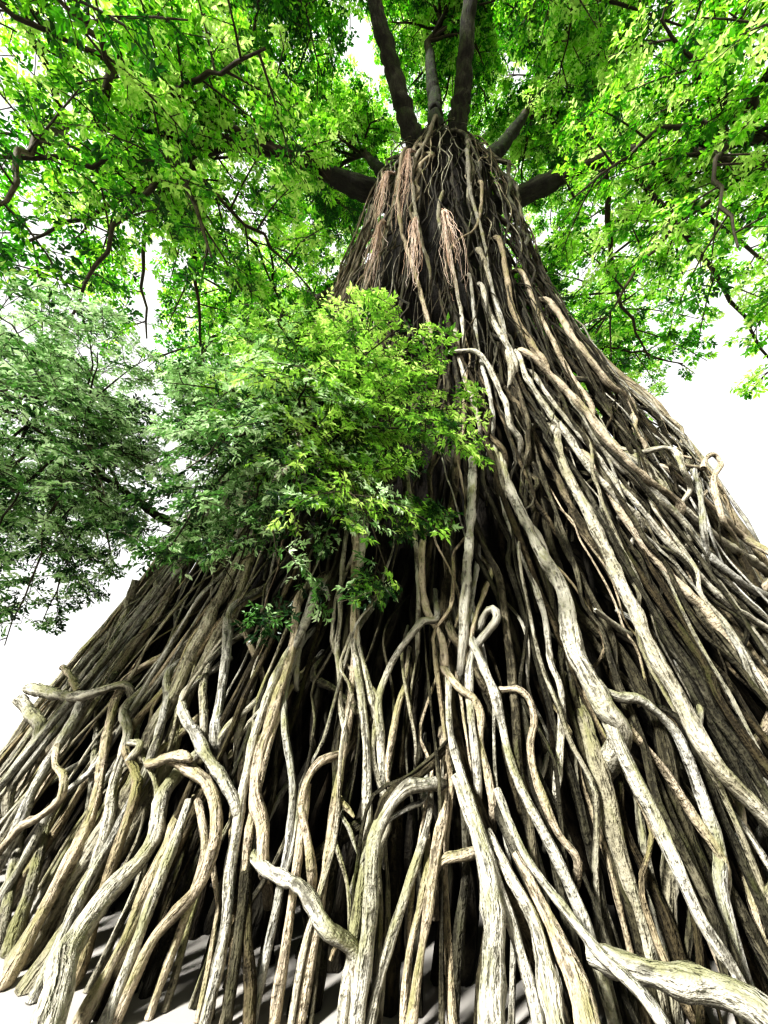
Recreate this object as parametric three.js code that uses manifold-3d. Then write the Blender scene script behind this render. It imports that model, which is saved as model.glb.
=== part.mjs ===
// A large banyan, a fig whose prop roots have grown into a tall cage round its trunk.
// Millimetres, +Z up. The origin is the middle of the trunk's flat cut at ground level.
// The trunk leans towards +X, and the side with the most roots and the low shoots faces -Y.
// Azimuths are degrees round the trunk's line, from +X towards +Y.

import * as THREE from "three";
import { mergeVertices } from "three/addons/utils/BufferGeometryUtils.js";
import Module from "manifold-3d";

const wasm = await Module();
wasm.setup();

// Trunk and cage of roots
const clearance = 0.4; // gap left where one piece meets another
const forkHeight = 17000; // where the trunk ends in its boughs
const lean = 0.075; // sideways shift of the trunk's line for each unit of height
const trunkShare = 0.72; // the trunk's radius as a share of the cage's
const forkFrom = 15600; // above it the trunk narrows to its fork
const forkLoss = 0.2;
const fluteCount = 9;
const fluteDepth = 0.1;
const cageTopRadius = 900;
const cageSpread = 5300; // how much wider the roots stand at the ground than at the neck
const cageFall = 9000; // height over which that spread fades
const frontFlattening = 0.2; // share by which the cage is flatter at the front
const cageHeight = 16000;
// The cage bulges on the right, most at this azimuth and height.
const shoulder = { out: 800, azimuth: -16, breadth: 26, height: 4700, depth: 2300 };
const footDepth = -160; // roots are modelled to here and cut off flat at the ground
const groundBox = 60000;

// Crown
const leafLength = 2300; // each blade stands for a spray of leaves
const leafWidth = 1400;
const leafThickness = 80;
const shootLeafLength = 850;
const shootLeafWidth = 480;
const shootLeafThickness = 30;
const twigCount = 8;
const leavesPerTwig = 3;
const leafTries = 6; // turns tried for each leaf before it is left out
const boughSag = 0.06; // how far a bough's middle hangs under a straight line, as a share of its rise
const spaceMargin = 0.03; // share of a mass's radius kept clear of the next mass
const limbMargin = 60; // gap kept between a leaf and a limb of another piece
const shootMargin = 420; // how far the low shoots' leaves keep off the cage
const shootFloor = 300;

const bark = { color: 0xa39a83, roughness: 0.9, metalness: 0 };
const darkBark = { color: 0x3a3228, roughness: 0.95, metalness: 0 };
const hangingRoot = { color: 0x9a6f52, roughness: 0.95, metalness: 0 };
const leafGreen = { color: 0x4f8a1e, roughness: 0.55, metalness: 0 };
const shootGreen = { color: 0x6fae22, roughness: 0.5, metalness: 0 };

const radians = THREE.MathUtils.degToRad;
const { lerp, smoothstep } = THREE.MathUtils;
const goldenShare = (Math.sqrt(5) - 1) / 2;
const goldenAngle = 2 * Math.PI * (1 - goldenShare);

const group = new THREE.Group();

function addPiece(name, solid, look) {
  const { vertProperties, triVerts, numProp } = solid.getMesh();
  const geometry = new THREE.BufferGeometry();
  geometry.setAttribute("position", new THREE.BufferAttribute(vertProperties, numProp));
  geometry.setIndex(new THREE.BufferAttribute(triVerts, 1));
  const mesh = new THREE.Mesh(geometry, new THREE.MeshStandardMaterial(look));
  mesh.name = name;
  group.add(mesh);
}

// Numbers from 0 to 1 that are the same on every run.
function seeded(seed) {
  let state = seed >>> 0;
  return () => {
    state = (state + 0x6d2b79f5) >>> 0;
    let t = Math.imul(state ^ (state >>> 15), 1 | state);
    t = (t + Math.imul(t ^ (t >>> 7), 61 | t)) ^ t;
    return ((t ^ (t >>> 14)) >>> 0) / 4294967296;
  };
}

function solidOf(geometry) {
  geometry.deleteAttribute("normal");
  geometry.deleteAttribute("uv");
  const merged = mergeVertices(geometry, 1e-3);
  return new wasm.Manifold(
    new wasm.Mesh({
      numProp: 3,
      vertProperties: merged.attributes.position.array,
      triVerts: new Uint32Array(merged.index.array),
    }),
  );
}

const union = (solids) => wasm.Manifold.union(solids);

// The largest closed body of a solid, which drops loose scraps and fills sealed hollows.
function mainBody(solid) {
  const bodies = solid.decompose();
  return bodies.reduce((best, body) => (body.volume() > best.volume() ? body : best));
}

// A round limb along a smooth line: a cylinder bent to the line, with radiusAt(share of its length).
function limb(points, radiusAt, sides, steps, extra = 0) {
  const curve = new THREE.CatmullRomCurve3(points);
  const { normals, binormals } = curve.computeFrenetFrames(steps);
  const geometry = new THREE.CylinderGeometry(1, 1, 1, sides, steps);
  const position = geometry.attributes.position;
  for (let i = 0; i < position.count; i++) {
    const share = 0.5 - position.getY(i);
    const step = Math.round(share * steps);
    const radius = radiusAt(share) + extra;
    const place = curve
      .getPointAt(share)
      .addScaledVector(normals[step], position.getX(i) * radius)
      .addScaledVector(binormals[step], position.getZ(i) * radius);
    position.setXYZ(i, place.x, place.y, place.z);
  }
  return solidOf(geometry);
}

// Places round the trunk's leaning line.
function around(azimuth, radius, height) {
  const a = radians(azimuth);
  return new THREE.Vector3(lean * height + radius * Math.cos(a), radius * Math.sin(a), height);
}

// How far the outer roots stand from the trunk's line.
function cageRadius(azimuth, height) {
  const low = Math.max(height, 0);
  const round = cageTopRadius + cageSpread * Math.exp(-low / cageFall);
  const front = Math.max(0, -Math.sin(radians(azimuth)));
  const bulge =
    shoulder.out *
    Math.exp(-(((azimuth - shoulder.azimuth) / shoulder.breadth) ** 2)) *
    Math.exp(-(((low - shoulder.height) / shoulder.depth) ** 2));
  return round * (1 - frontFlattening * front * Math.max(0, 1 - low / cageHeight)) + bulge;
}

function trunkRadius(azimuth, height) {
  const narrowing = 1 - forkLoss * smoothstep(height, forkFrom, forkHeight);
  return trunkShare * cageRadius(azimuth, height) * narrowing;
}

// Trunk
function trunkSolid(extra) {
  const sides = 18;
  const steps = 7;
  const geometry = new THREE.CylinderGeometry(1, 1, 1, sides, steps);
  const position = geometry.attributes.position;
  for (let i = 0; i < position.count; i++) {
    const height = (position.getY(i) + 0.5) * forkHeight;
    const angle = Math.atan2(-position.getZ(i), position.getX(i));
    const flute = 1 + fluteDepth * Math.cos(fluteCount * angle);
    const girth = trunkRadius(THREE.MathUtils.radToDeg(angle), height);
    const radius = Math.hypot(position.getX(i), position.getZ(i)) * (girth * flute + extra);
    position.setXYZ(
      i,
      lean * height + radius * Math.cos(angle),
      radius * Math.sin(angle),
      height + (height > forkHeight / 2 ? extra * (height / forkHeight) : 0),
    );
  }
  return solidOf(geometry);
}

const trunk = trunkSolid(0);
const trunkCutter = trunkSolid(clearance);
const belowGround = solidOf(
  new THREE.BoxGeometry(groundBox, groundBox, groundBox).translate(0, 0, -groundBox / 2),
);
addPiece("trunk", trunk, darkBark);

// Roots. A station is [azimuth, height, distance out from the cage].
const rootSides = 5;
const rootDepth = 0.8; // where a root starts inside the trunk, as a share of the trunk's radius
const rootLeaves = 1800; // drop in which a front root has left the trunk
const sway = [1.4, 0.6]; // degrees that a ruled main root and a fork wave from side to side
const footFlare = 0.35; // how much a root thickens in its last stretch
const footFlareShare = 0.07;
const footScatter = [-150, 330]; // how far a ruled foot may stand inside or outside the cage

function rootGirth(top, foot) {
  return (share) =>
    lerp(top, foot, share) * (1 + footFlare * Math.exp(-(1 - share) / footFlareShare));
}

function stationPoint([azimuth, height, out]) {
  return around(azimuth, cageRadius(azimuth, height) + out, height);
}

// Stations of a root that leaves the trunk and drops to its foot down the outside of the cage.
function droppingStations(topAzimuth, topHeight, footAzimuth, phase, footOut) {
  const count = 6;
  const stations = [];
  for (let i = 0; i < count; i++) {
    const share = i / (count - 1);
    const height = lerp(topHeight, footDepth, share);
    const wave = Math.sin(phase + 9 * share) * Math.sin(Math.PI * share);
    const azimuth = lerp(topAzimuth, footAzimuth, smoothstep(share, 0, 1)) + sway[0] * wave;
    const cage = cageRadius(azimuth, height);
    const inTrunk = trunkRadius(azimuth, height) * rootDepth;
    const radius = lerp(inTrunk, cage, smoothstep(share, -0.05, 0.2)) + footOut * share ** 3;
    stations.push([azimuth, height, radius - cage]);
  }
  return stations;
}

// Stations of a root that forks from one above it. layer is the share of the cage's radius it runs at.
function forkStations([azimuth, height, out], footAzimuth, phase, footOut, layer) {
  const count = 4;
  const stations = [];
  for (let i = 0; i < count; i++) {
    const share = i / (count - 1);
    const wave = Math.sin(phase + 6 * share) * Math.sin(Math.PI * share);
    const along = lerp(azimuth, footAzimuth, smoothstep(share, 0, 0.8)) + sway[1] * wave;
    const level = lerp(height, footDepth, share);
    const inward = (layer - 1) * cageRadius(along, level) * smoothstep(share, 0, 0.5);
    stations.push([along, level, lerp(out, footOut, share) + inward]);
  }
  return stations;
}

// The place on a root's own line that is nearest to a height, as a station.
function stationAt(stations, height) {
  for (let i = 1; i < stations.length; i++) {
    const [before, after] = [stations[i - 1], stations[i]];
    if (after[1] <= height) {
      const share = (before[1] - height) / (before[1] - after[1]);
      return before.map((value, k) => lerp(value, after[k], share));
    }
  }
  return stations.at(-1);
}

function strand({ stations, girth, sides = rootSides }, extra) {
  return limb(stations.map(stationPoint), rootGirth(...girth), sides, stations.length - 1, extra);
}

// Top of a root that the photograph shows, from the trunk down to where its own stations begin.
function fromTrunk(topAzimuth, topHeight, first) {
  const depth = trunkRadius(topAzimuth, topHeight) * rootDepth - cageRadius(topAzimuth, topHeight);
  const leave = topHeight - rootLeaves;
  return [
    [topAzimuth, topHeight, depth],
    [topAzimuth, leave, -60],
    [lerp(topAzimuth, first[0], 0.5), lerp(leave, first[1], 0.5), 0],
  ];
}

// The front roots that stand out. Each bundle has its top, its main root's stations and girths, the
// roots that branch from that one, and ruled forks given by where they leave it and their foot.
const frontRoots = {
  front: {
    top: [-90, 15100],
    main: [
      [-90, 5500, 0], [-91.5, 3300, 0], [-93, 2000, 0], [-92.5, 1300, 60], [-91, 780, 110],
      [-88.5, 300, 150], [-87, footDepth, 200],
    ],
    girth: [50, 100],
    branches: [
      {
        stations: [
          [-92.8, 1650, 20], [-92.2, 960, 70], [-91.8, 570, 70], [-92.6, footDepth, 90],
        ],
        girth: [45, 65],
      },
      {
        stations: [
          [-92.8, 1750, 10], [-89.5, 1180, 120], [-87, 650, 150], [-84.6, footDepth, 220],
        ],
        girth: [40, 55],
      },
      {
        stations: [
          [-92.5, 1150, 70], [-95.6, 930, 150], [-98, 840, 190], [-98.6, 540, 170],
          [-98.4, footDepth, 130],
        ],
        girth: [50, 50],
      },
    ],
    forks: [[6600, -95.8], [4300, -88.4]],
  },
  front_left: {
    top: [-106, 14900],
    main: [
      [-107, 5000, 0], [-106.5, 3100, 0], [-104, 2000, 0], [-102.8, 1300, 0], [-101.6, 760, 0],
      [-101.4, footDepth, 0],
    ],
    girth: [45, 70],
    branches: [
      {
        stations: [
          [-106.8, 3600, 0], [-108.5, 2170, 40], [-110, 1710, 60], [-110, 1040, 60],
          [-110.4, 510, 40], [-110.8, footDepth, 40],
        ],
        girth: [40, 65],
      },
      {
        stations: [
          [-110, 1040, 60], [-108, 730, 90], [-106, 490, 110], [-104.6, 260, 170],
          [-103.6, footDepth, 190],
        ],
        girth: [45, 55],
      },
    ],
    forks: [[6800, -112.2], [4700, -107]],
  },
  left_foot: {
    top: [-121, 15200],
    main: [
      [-121.5, 5000, 0], [-121, 3000, 0], [-120, 1260, 0], [-118.5, 680, 40],
      [-118.2, 250, 100], [-118.8, footDepth, 200],
    ],
    girth: [50, 150],
    branches: [
      {
        stations: [
          [-120.7, 1900, 0], [-122.5, 1050, 60], [-119.5, 930, 170], [-116.6, 780, 170],
          [-115.2, 480, 110], [-115, footDepth, 110],
        ],
        girth: [50, 60],
      },
      {
        stations: [
          [-121, 2700, 0], [-124.5, 1900, 0], [-125.6, 900, 0], [-126.4, footDepth, 40],
        ],
        girth: [40, 60],
      },
    ],
    forks: [[7000, -128], [5200, -123]],
  },
  far_left: {
    top: [-138, 14700],
    main: [[-137, 4600, 0], [-136, 2600, 0], [-134, 1350, 0], [-136, 700, 0], [-137, footDepth, 0]],
    girth: [50, 90],
    branches: [
      {
        stations: [
          [-134, 1350, 0], [-132.2, 1450, 100], [-130.6, 1100, 120], [-131, 500, 60],
          [-131.4, footDepth, 60],
        ],
        girth: [50, 50],
      },
      {
        stations: [
          [-136, 2600, 0], [-139.6, 1500, 20], [-140.4, 800, 20], [-141, footDepth, 20],
        ],
        girth: [45, 65],
      },
    ],
    forks: [[7200, -143.6], [5600, -133.6]],
  },
  front_right: {
    top: [-79, 14800],
    main: [
      [-78.5, 5200, 0], [-79, 3070, 0], [-80, 2100, 0], [-78, 1620, 90], [-76.8, 1200, 140],
      [-77.4, 750, 120], [-77.4, 420, 120], [-76.8, footDepth, 150],
    ],
    girth: [50, 90],
    branches: [
      {
        stations: [
          [-77, 1270, 130], [-74.8, 1180, 150], [-74, 700, 110], [-73.6, footDepth, 110],
        ],
        girth: [50, 60],
      },
      {
        stations: [
          [-78.6, 5000, 0], [-75, 3900, 140], [-73.2, 2700, 190], [-71.8, 1900, 200],
          [-70.8, 1160, 200], [-70.4, footDepth, 230],
        ],
        girth: [45, 70],
      },
    ],
    forks: [[6800, -82.6], [4600, -80]],
  },
  right_runner: {
    top: [-68, 15200],
    main: [
      [-71, 5600, 0], [-66, 4400, 0], [-61, 3500, 0], [-58, 2550, 0], [-56.5, 1650, 0],
      [-56, footDepth, 0],
    ],
    girth: [50, 80],
    branches: [
      {
        stations: [
          [-68.5, 5000, 0], [-67.6, 3600, 0], [-67, 2200, 0], [-66.4, footDepth, 40],
        ],
        girth: [40, 65],
      },
      {
        stations: [
          [-61.5, 3600, 0], [-61.8, 2400, 40], [-61.6, 1200, 60], [-61.2, footDepth, 60],
        ],
        girth: [35, 60],
      },
    ],
    forks: [[7000, -63.8], [4400, -58.6]],
  },
  right_shoulder: {
    top: [-54, 15000],
    main: [[-58, 6200, 0], [-52, 4400, 0], [-47, 3000, 20], [-43, 1500, 20], [-42, footDepth, 20]],
    girth: [50, 90],
    branches: [
      {
        stations: [[-53.5, 4800, 0], [-52, 3000, 0], [-51, 1500, 0], [-50.5, footDepth, 40]],
        girth: [40, 65],
      },
    ],
    forks: [[5000, -46.4], [3000, -38.4]],
  },
};

function ruledFork(main, height, footAzimuth, random, layer) {
  return {
    stations: forkStations(
      stationAt(main, height),
      footAzimuth,
      random() * 6,
      lerp(...footScatter, random()) * (layer === 1 ? 1 : 0),
      layer,
    ),
    girth: [lerp(40, 50, random()), lerp(55, 75, random())],
    sides: 4,
  };
}

function frontBundle({ top, main, girth, branches, forks }, index) {
  const random = seeded(60 + index);
  const stations = [...fromTrunk(...top, main[0]), ...main];
  const ruled = forks.map(([height, foot]) => ruledFork(stations, height, foot, random, 1));
  return [{ stations, girth }, ...branches, ...ruled];
}

// The other bundles follow the rule, one to a sector, all the way round the back.
const sectorFirst = -29;
const sectorStep = 15.2;
const sectorCount = 16;
const sectorReach = 5.6; // how far a foot may stand from the middle of its sector
const innerLayer = 0.86; // one fork of each bundle stands inside the others

function ruledBundle(index) {
  const random = seeded(100 + index);
  const middle = sectorFirst + index * sectorStep;
  const topHeight = lerp(13300, 15000, random());
  const main = droppingStations(
    middle,
    topHeight,
    middle + lerp(-1.5, 1.5, random()),
    random() * 6,
    lerp(...footScatter, random()),
  );
  const strands = [{ stations: main, girth: [lerp(50, 60, random()), lerp(75, 110, random())] }];
  for (const side of [-1, 1]) {
    const foot = middle + side * sectorReach * lerp(0.75, 1, random());
    strands.push(ruledFork(main, topHeight * lerp(0.35, 0.65, random()), foot, random, 1));
  }
  const innerTop = topHeight * lerp(0.5, 0.6, random());
  strands.push(ruledFork(main, innerTop, middle + lerp(-4, 4, random()), random, innerLayer));
  return strands;
}

const bundles = new Map();
Object.entries(frontRoots).forEach(([name, bundle], i) => {
  bundles.set("roots_" + name, frontBundle(bundle, i));
});
for (let i = 0; i < sectorCount; i++) {
  bundles.set("roots_" + String(i + 1).padStart(2, "0"), ruledBundle(i));
}

// Boughs: each is one tapering limb from the trunk to where it enters its mass of leaves.
// tip and centre, its tip and the middle of its mass, are given by azimuth, distance from the trunk's
// line and height. radii are the mass's reach outward, sideways and up.
const boughs = [
  {
    name: "limb_right", azimuth: -15, start: 13900, tip: [-14, 3300, 14300], girth: [340, 240],
    centre: [-12, 8200, 12100], radii: [5800, 5100, 5000],
  },
  {
    name: "limb_back_right", azimuth: 42, start: 13600, tip: [42, 4100, 14100], girth: [330, 220],
    centre: [42, 8000, 13500], radii: [4700, 4800, 4800],
  },
  {
    name: "limb_back", azimuth: 94, start: 14000, tip: [94, 4000, 14600], girth: [330, 220],
    centre: [93, 7800, 14200], radii: [4500, 4800, 4600],
  },
  {
    name: "limb_back_left", azimuth: 146, start: 13600, tip: [144, 4100, 14100], girth: [330, 220],
    centre: [142, 8000, 13500], radii: [4700, 4800, 4800],
  },
  {
    name: "limb_left", azimuth: -164, start: 14200, tip: [-165, 3300, 14400], girth: [340, 240],
    centre: [-167, 8300, 12300], radii: [5900, 5100, 5000],
  },
  {
    name: "bough_front_left", azimuth: -138, start: 15300, tip: [-132, 3600, 19600], girth: [320, 190],
    centre: [-150, 7000, 20400], radii: [3800, 4300, 3900],
  },
  {
    name: "bough_front_right", azimuth: -66, start: 15600, tip: [-80, 2600, 19700], girth: [310, 200],
    centre: [-38, 6000, 21000], radii: [3900, 4300, 3900],
  },
  {
    name: "bough_right", azimuth: 2, start: 15900, tip: [10, 3100, 20700], girth: [290, 170],
    centre: [16, 5900, 22900], radii: [3800, 4200, 3800],
  },
  {
    name: "bough_back", azimuth: 76, start: 15700, tip: [79, 3000, 20500], girth: [300, 170],
    centre: [80, 5700, 22900], radii: [3700, 4200, 3800],
  },
  {
    name: "bough_left", azimuth: 150, start: 15900, tip: [146, 3200, 20600], girth: [300, 170],
    centre: [144, 5900, 22900], radii: [3800, 4200, 3800],
  },
  {
    name: "leader", azimuth: 20, start: 16500, tip: [170, 600, 24600], girth: [300, 180],
    centre: [20, 500, 27700], radii: [4200, 4200, 3500],
  },
];

// The low shoots grow from two roots of the left front.
const shoots = [
  {
    name: "shoot_front", from: "roots_left_foot", height: 3300, azimuth: -113,
    tip: [-113, 4300, 3450], girth: [60, 40], centre: [-111, 4750, 3250], radii: [950, 1800, 1650],
  },
  {
    name: "shoot_left", from: "roots_far_left", height: 3000, azimuth: -138,
    tip: [-138, 5000, 3300], girth: [60, 40], centre: [-138, 5900, 3350], radii: [1200, 1900, 1900],
  },
];

function boughPoints({ name, azimuth, start, tip }) {
  const offset = name === "leader" ? 0 : trunkRadius(azimuth, start) * 0.55;
  const inside = around(azimuth, offset, start - 150);
  const end = around(...tip);
  const middle = inside.clone().lerp(end, 0.5);
  middle.z -= (tip[2] - start) * boughSag;
  return [inside, middle, end];
}

function shootPoints({ from, height, azimuth, tip }) {
  const [azimuthThere, , out] = stationAt(bundles.get(from)[0].stations, height);
  return [
    stationPoint([azimuthThere, height, out]),
    around((azimuth + azimuthThere) / 2, lerp(cageRadius(azimuth, height), tip[1], 0.6), height + 120),
    around(...tip),
  ];
}

const taper = ([from, to]) => (share) => lerp(from, to, share);
const bundleSolid = (strands, extra) => union(strands.map((root) => strand(root, extra)));

const limbs = []; // every limb that leaves must keep away from
function addLimb(piece, points, sides, steps, cutter) {
  Object.assign(piece, { points, sides, steps });
  const solid = limb(points, taper(piece.girth), sides, steps).subtract(cutter);
  addPiece(piece.name, mainBody(solid), bark);
  limbs.push({ name: piece.name, points, radius: piece.girth[0] });
}
for (const bough of boughs) addLimb(bough, boughPoints(bough), 6, 4, trunkCutter);
for (const shoot of shoots) {
  addLimb(shoot, shootPoints(shoot), 5, 3, bundleSolid(bundles.get(shoot.from), clearance));
}
const boughCutter = union([trunkCutter, belowGround, ...boughs.map(limbCutter)]);

// What stays clear of a limb: the limb, a clearance wider and longer.
function limbCutter({ points, girth, sides, steps }) {
  const ahead = new THREE.CatmullRomCurve3(points).getTangentAt(1);
  const longer = [...points.slice(0, -1), points.at(-1).clone().addScaledVector(ahead, clearance)];
  return limb(longer, taper(girth), sides, steps, clearance);
}

let previous = null;
for (const [name, strands] of bundles) {
  let solid = bundleSolid(strands, 0).subtract(boughCutter);
  if (previous) solid = solid.subtract(previous);
  addPiece(name, mainBody(solid), bark);
  previous = bundleSolid(strands, clearance);
}

// Tassels of fine roots hang from the left front of the cage. from and to are stations.
const tassels = [
  { root: "roots_left_foot", from: [-126, 12400, 330], to: [-122, 9600, 330], girth: 170 },
  { root: "roots_left_foot", from: [-119.5, 9900, 330], to: [-117, 7200, 330], girth: 180 },
  { root: "roots_front_left", from: [-113.5, 12900, 340], to: [-108.5, 8900, 360], girth: 210 },
  { root: "roots_front_left", from: [-104.5, 9400, 340], to: [-102.5, 6600, 330], girth: 150 },
  { root: "roots_front", from: [-94, 9600, 330], to: [-90, 6500, 330], girth: 180 },
];

function tasselPoints({ root, from, to }) {
  const hold = stationAt(bundles.get(root)[0].stations, from[1] + 150);
  const points = [stationPoint(hold)];
  for (const share of [0, 0.12, 0.35, 0.7, 1]) {
    const station = from.map((value, k) => lerp(value, to[k], share));
    station[2] *= Math.min(1, 0.7 + share * 2.5);
    points.push(stationPoint(station));
  }
  return points;
}

tassels.forEach((tassel, i) => {
  const girth = (share) =>
    30 + tassel.girth * smoothstep(share, 0.2, 0.55) * (1 - 0.85 * smoothstep(share, 0.7, 1));
  const solid = limb(tasselPoints(tassel), girth, 5, 5).subtract(
    bundleSolid(bundles.get(tassel.root), clearance),
  );
  addPiece("hanging_roots_" + (i + 1), mainBody(solid), hangingRoot);
});

// Masses of leaves
const masses = [...boughs, ...shoots].map((bough) => {
  const azimuth = radians(bough.centre[0]);
  return {
    ...bough,
    low: shoots.includes(bough),
    middle: around(...bough.centre),
    outward: new THREE.Vector3(Math.cos(azimuth), Math.sin(azimuth), 0),
    sideways: new THREE.Vector3(-Math.sin(azimuth), Math.cos(azimuth), 0),
  };
});

// Distance from a mass's middle, where 1 is its surface.
function depthIn(mass, point) {
  const off = point.clone().sub(mass.middle);
  return Math.hypot(
    off.dot(mass.outward) / mass.radii[0],
    off.dot(mass.sideways) / mass.radii[1],
    off.z / mass.radii[2],
  );
}

function massPoint(mass, direction, share) {
  return mass.middle
    .clone()
    .addScaledVector(mass.outward, direction.x * mass.radii[0] * share)
    .addScaledVector(mass.sideways, direction.y * mass.radii[1] * share)
    .add(new THREE.Vector3(0, 0, direction.z * mass.radii[2] * share));
}

function distanceToLine(point, points) {
  let nearest = Infinity;
  const closest = new THREE.Vector3();
  for (let i = 1; i < points.length; i++) {
    new THREE.Line3(points[i - 1], points[i]).closestPointToPoint(point, true, closest);
    nearest = Math.min(nearest, closest.distanceTo(point));
  }
  return nearest;
}

// True if a point is in the mass's own space and clear of the cage and of every other limb.
function isFree(mass, point) {
  const own = depthIn(mass, point);
  if (own > 1) return false;
  for (const other of masses) {
    if (other !== mass && depthIn(other, point) < own + spaceMargin) return false;
  }
  if (mass.low) {
    const off = Math.hypot(point.x - lean * point.z, point.y);
    const azimuth = THREE.MathUtils.radToDeg(Math.atan2(point.y, point.x - lean * point.z));
    if (off < cageRadius(azimuth, point.z) + shootMargin || point.z < shootFloor) return false;
  }
  return limbs.every(({ name, points, radius }) => {
    return name === mass.name || distanceToLine(point, points) > radius + limbMargin;
  });
}

// Even directions over a sphere.
function spreadDirection(index, count, turn) {
  const z = 1 - (2 * (index + 0.5)) / count;
  const flat = Math.sqrt(1 - z * z);
  const angle = index * goldenAngle + turn;
  return new THREE.Vector3(flat * Math.cos(angle), flat * Math.sin(angle), z);
}

// One blade: four faces that meet in a midrib above, its root at one end of the midrib.
const bladeHalf = Math.sqrt(2 / 3); // half the midrib of the unit tetrahedron
const bladeShape = new THREE.TetrahedronGeometry(1)
  .rotateZ(-Math.PI / 4)
  .scale(0.5 / bladeHalf, 0.5 / bladeHalf, Math.sqrt(3) / 2)
  .translate(0.5, 0, -0.5);

function blade(root, direction, face, [length, width, thickness]) {
  const side = new THREE.Vector3().crossVectors(face, direction).normalize();
  const up = new THREE.Vector3().crossVectors(direction, side).normalize();
  const matrix = new THREE.Matrix4()
    .makeBasis(
      direction.clone().multiplyScalar(length),
      side.multiplyScalar(width),
      up.multiplyScalar(thickness),
    )
    .setPosition(root);
  return bladeShape.clone().applyMatrix4(matrix);
}

function corners(geometry) {
  const { position } = geometry.attributes;
  const cornerAt = (_, i) => new THREE.Vector3().fromBufferAttribute(position, i);
  return Array.from({ length: position.count }, cornerAt);
}

function massSolid(mass, index) {
  const random = seeded(500 + index);
  const size = mass.low
    ? [shootLeafLength, shootLeafWidth, shootLeafThickness]
    : [leafLength, leafWidth, leafThickness];
  const tip = mass.points.at(-1);
  const ahead = new THREE.CatmullRomCurve3(mass.points).getTangentAt(1);
  const stemGirth = mass.girth[1] * 0.95;
  const stemPoints = [
    tip.clone().addScaledVector(ahead, -stemGirth * 0.3),
    tip.clone().addScaledVector(ahead, tip.distanceTo(mass.middle) * 0.35),
    massPoint(mass, new THREE.Vector3(0.3, 0, 0.3), 1),
  ];
  const stem = new THREE.CatmullRomCurve3(stemPoints);
  const wood = [limb(stemPoints, taper([stemGirth, stemGirth * 0.35]), 4, 3)];
  const twigs = [];
  const turn = random() * Math.PI * 2;
  for (let k = 0; k < twigCount; k++) {
    const direction = spreadDirection(k, twigCount, turn);
    const from = stem.getPointAt(lerp(0.35, 0.97, (k * goldenShare) % 1));
    const reach = massPoint(mass, direction, 1).distanceTo(mass.middle);
    const to = massPoint(mass, direction, Math.max(0.3, 0.96 - size[0] / reach));
    if (![from.clone().lerp(to, 0.5), to].every((point) => isFree(mass, point))) continue;
    const twigGirth = stemGirth * 0.3;
    const solid = limb([from, to], taper([twigGirth, twigGirth * 0.6]), 3, 1);
    wood.push(solid);
    twigs.push({ from, to, solid });
  }
  const leaves = [];
  for (let j = 0; j < leavesPerTwig; j++) {
    for (const twig of twigs) {
      const others = [...wood.filter((solid) => solid !== twig.solid), ...leaves];
      const leaf = freeLeaf(mass, twig, j, size, random, others);
      if (leaf) leaves.push(leaf);
    }
  }
  return mainBody(union([...wood, ...leaves]).subtract(limbCutter(mass)));
}

// A leaf on a twig that stays in its mass's space and clear of the others, or nothing after some tries.
function freeLeaf(mass, twig, j, size, random, others) {
  const along = j === 0 ? 0.985 : 1 - 0.25 * j;
  const root = twig.from.clone().lerp(twig.to, along);
  const outward = root.clone().sub(mass.middle).normalize();
  for (let attempt = 0; attempt < leafTries; attempt++) {
    const spin = random() * Math.PI * 2;
    const aside = new THREE.Vector3(Math.cos(spin), Math.sin(spin), lerp(-0.8, 0.8, random()));
    const heading = outward.clone().multiplyScalar(j === 0 ? 2 : 0.4).add(aside).normalize();
    const face = outward.clone().addScaledVector(aside, -0.4).add(new THREE.Vector3(0, 0, 0.3));
    const leaf = blade(root, heading, face, size);
    if (!corners(leaf).every((corner) => isFree(mass, corner))) continue;
    const solid = solidOf(leaf);
    if (others.every((other) => other.intersect(solid).isEmpty())) return solid;
  }
  return null;
}

masses.forEach((mass, index) => {
  addPiece("leaves_" + mass.name, massSolid(mass, index), mass.low ? shootGreen : leafGreen);
});

export default group;
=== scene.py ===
# The banyan in Blender: bark on its trunk, boughs and roots, and a crown of twigs and leaves.
# Metres, +Z up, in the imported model's frame. Azimuths are degrees round the trunk's leaning line,
# from +X towards +Y, and the side with the most roots faces -Y.
import math

import bpy
import numpy as np
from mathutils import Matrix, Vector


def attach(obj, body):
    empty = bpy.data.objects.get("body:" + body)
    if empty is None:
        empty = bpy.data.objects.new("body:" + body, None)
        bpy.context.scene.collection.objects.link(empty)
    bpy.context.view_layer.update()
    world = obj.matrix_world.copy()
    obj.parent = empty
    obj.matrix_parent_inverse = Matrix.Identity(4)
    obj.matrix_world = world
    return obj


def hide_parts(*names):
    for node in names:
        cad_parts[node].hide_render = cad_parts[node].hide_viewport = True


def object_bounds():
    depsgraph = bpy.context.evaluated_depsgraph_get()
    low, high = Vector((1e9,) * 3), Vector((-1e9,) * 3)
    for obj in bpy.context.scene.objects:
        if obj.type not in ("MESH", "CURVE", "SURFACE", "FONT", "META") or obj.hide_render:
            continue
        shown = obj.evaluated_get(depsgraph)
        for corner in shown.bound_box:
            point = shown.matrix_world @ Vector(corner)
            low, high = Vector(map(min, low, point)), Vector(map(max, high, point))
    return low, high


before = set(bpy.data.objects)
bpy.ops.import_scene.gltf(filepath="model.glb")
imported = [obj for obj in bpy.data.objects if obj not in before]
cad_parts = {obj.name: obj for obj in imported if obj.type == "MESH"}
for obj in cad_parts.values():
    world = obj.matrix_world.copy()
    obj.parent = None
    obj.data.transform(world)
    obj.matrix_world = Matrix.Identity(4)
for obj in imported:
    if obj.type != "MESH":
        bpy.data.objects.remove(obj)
cad_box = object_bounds()


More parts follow.
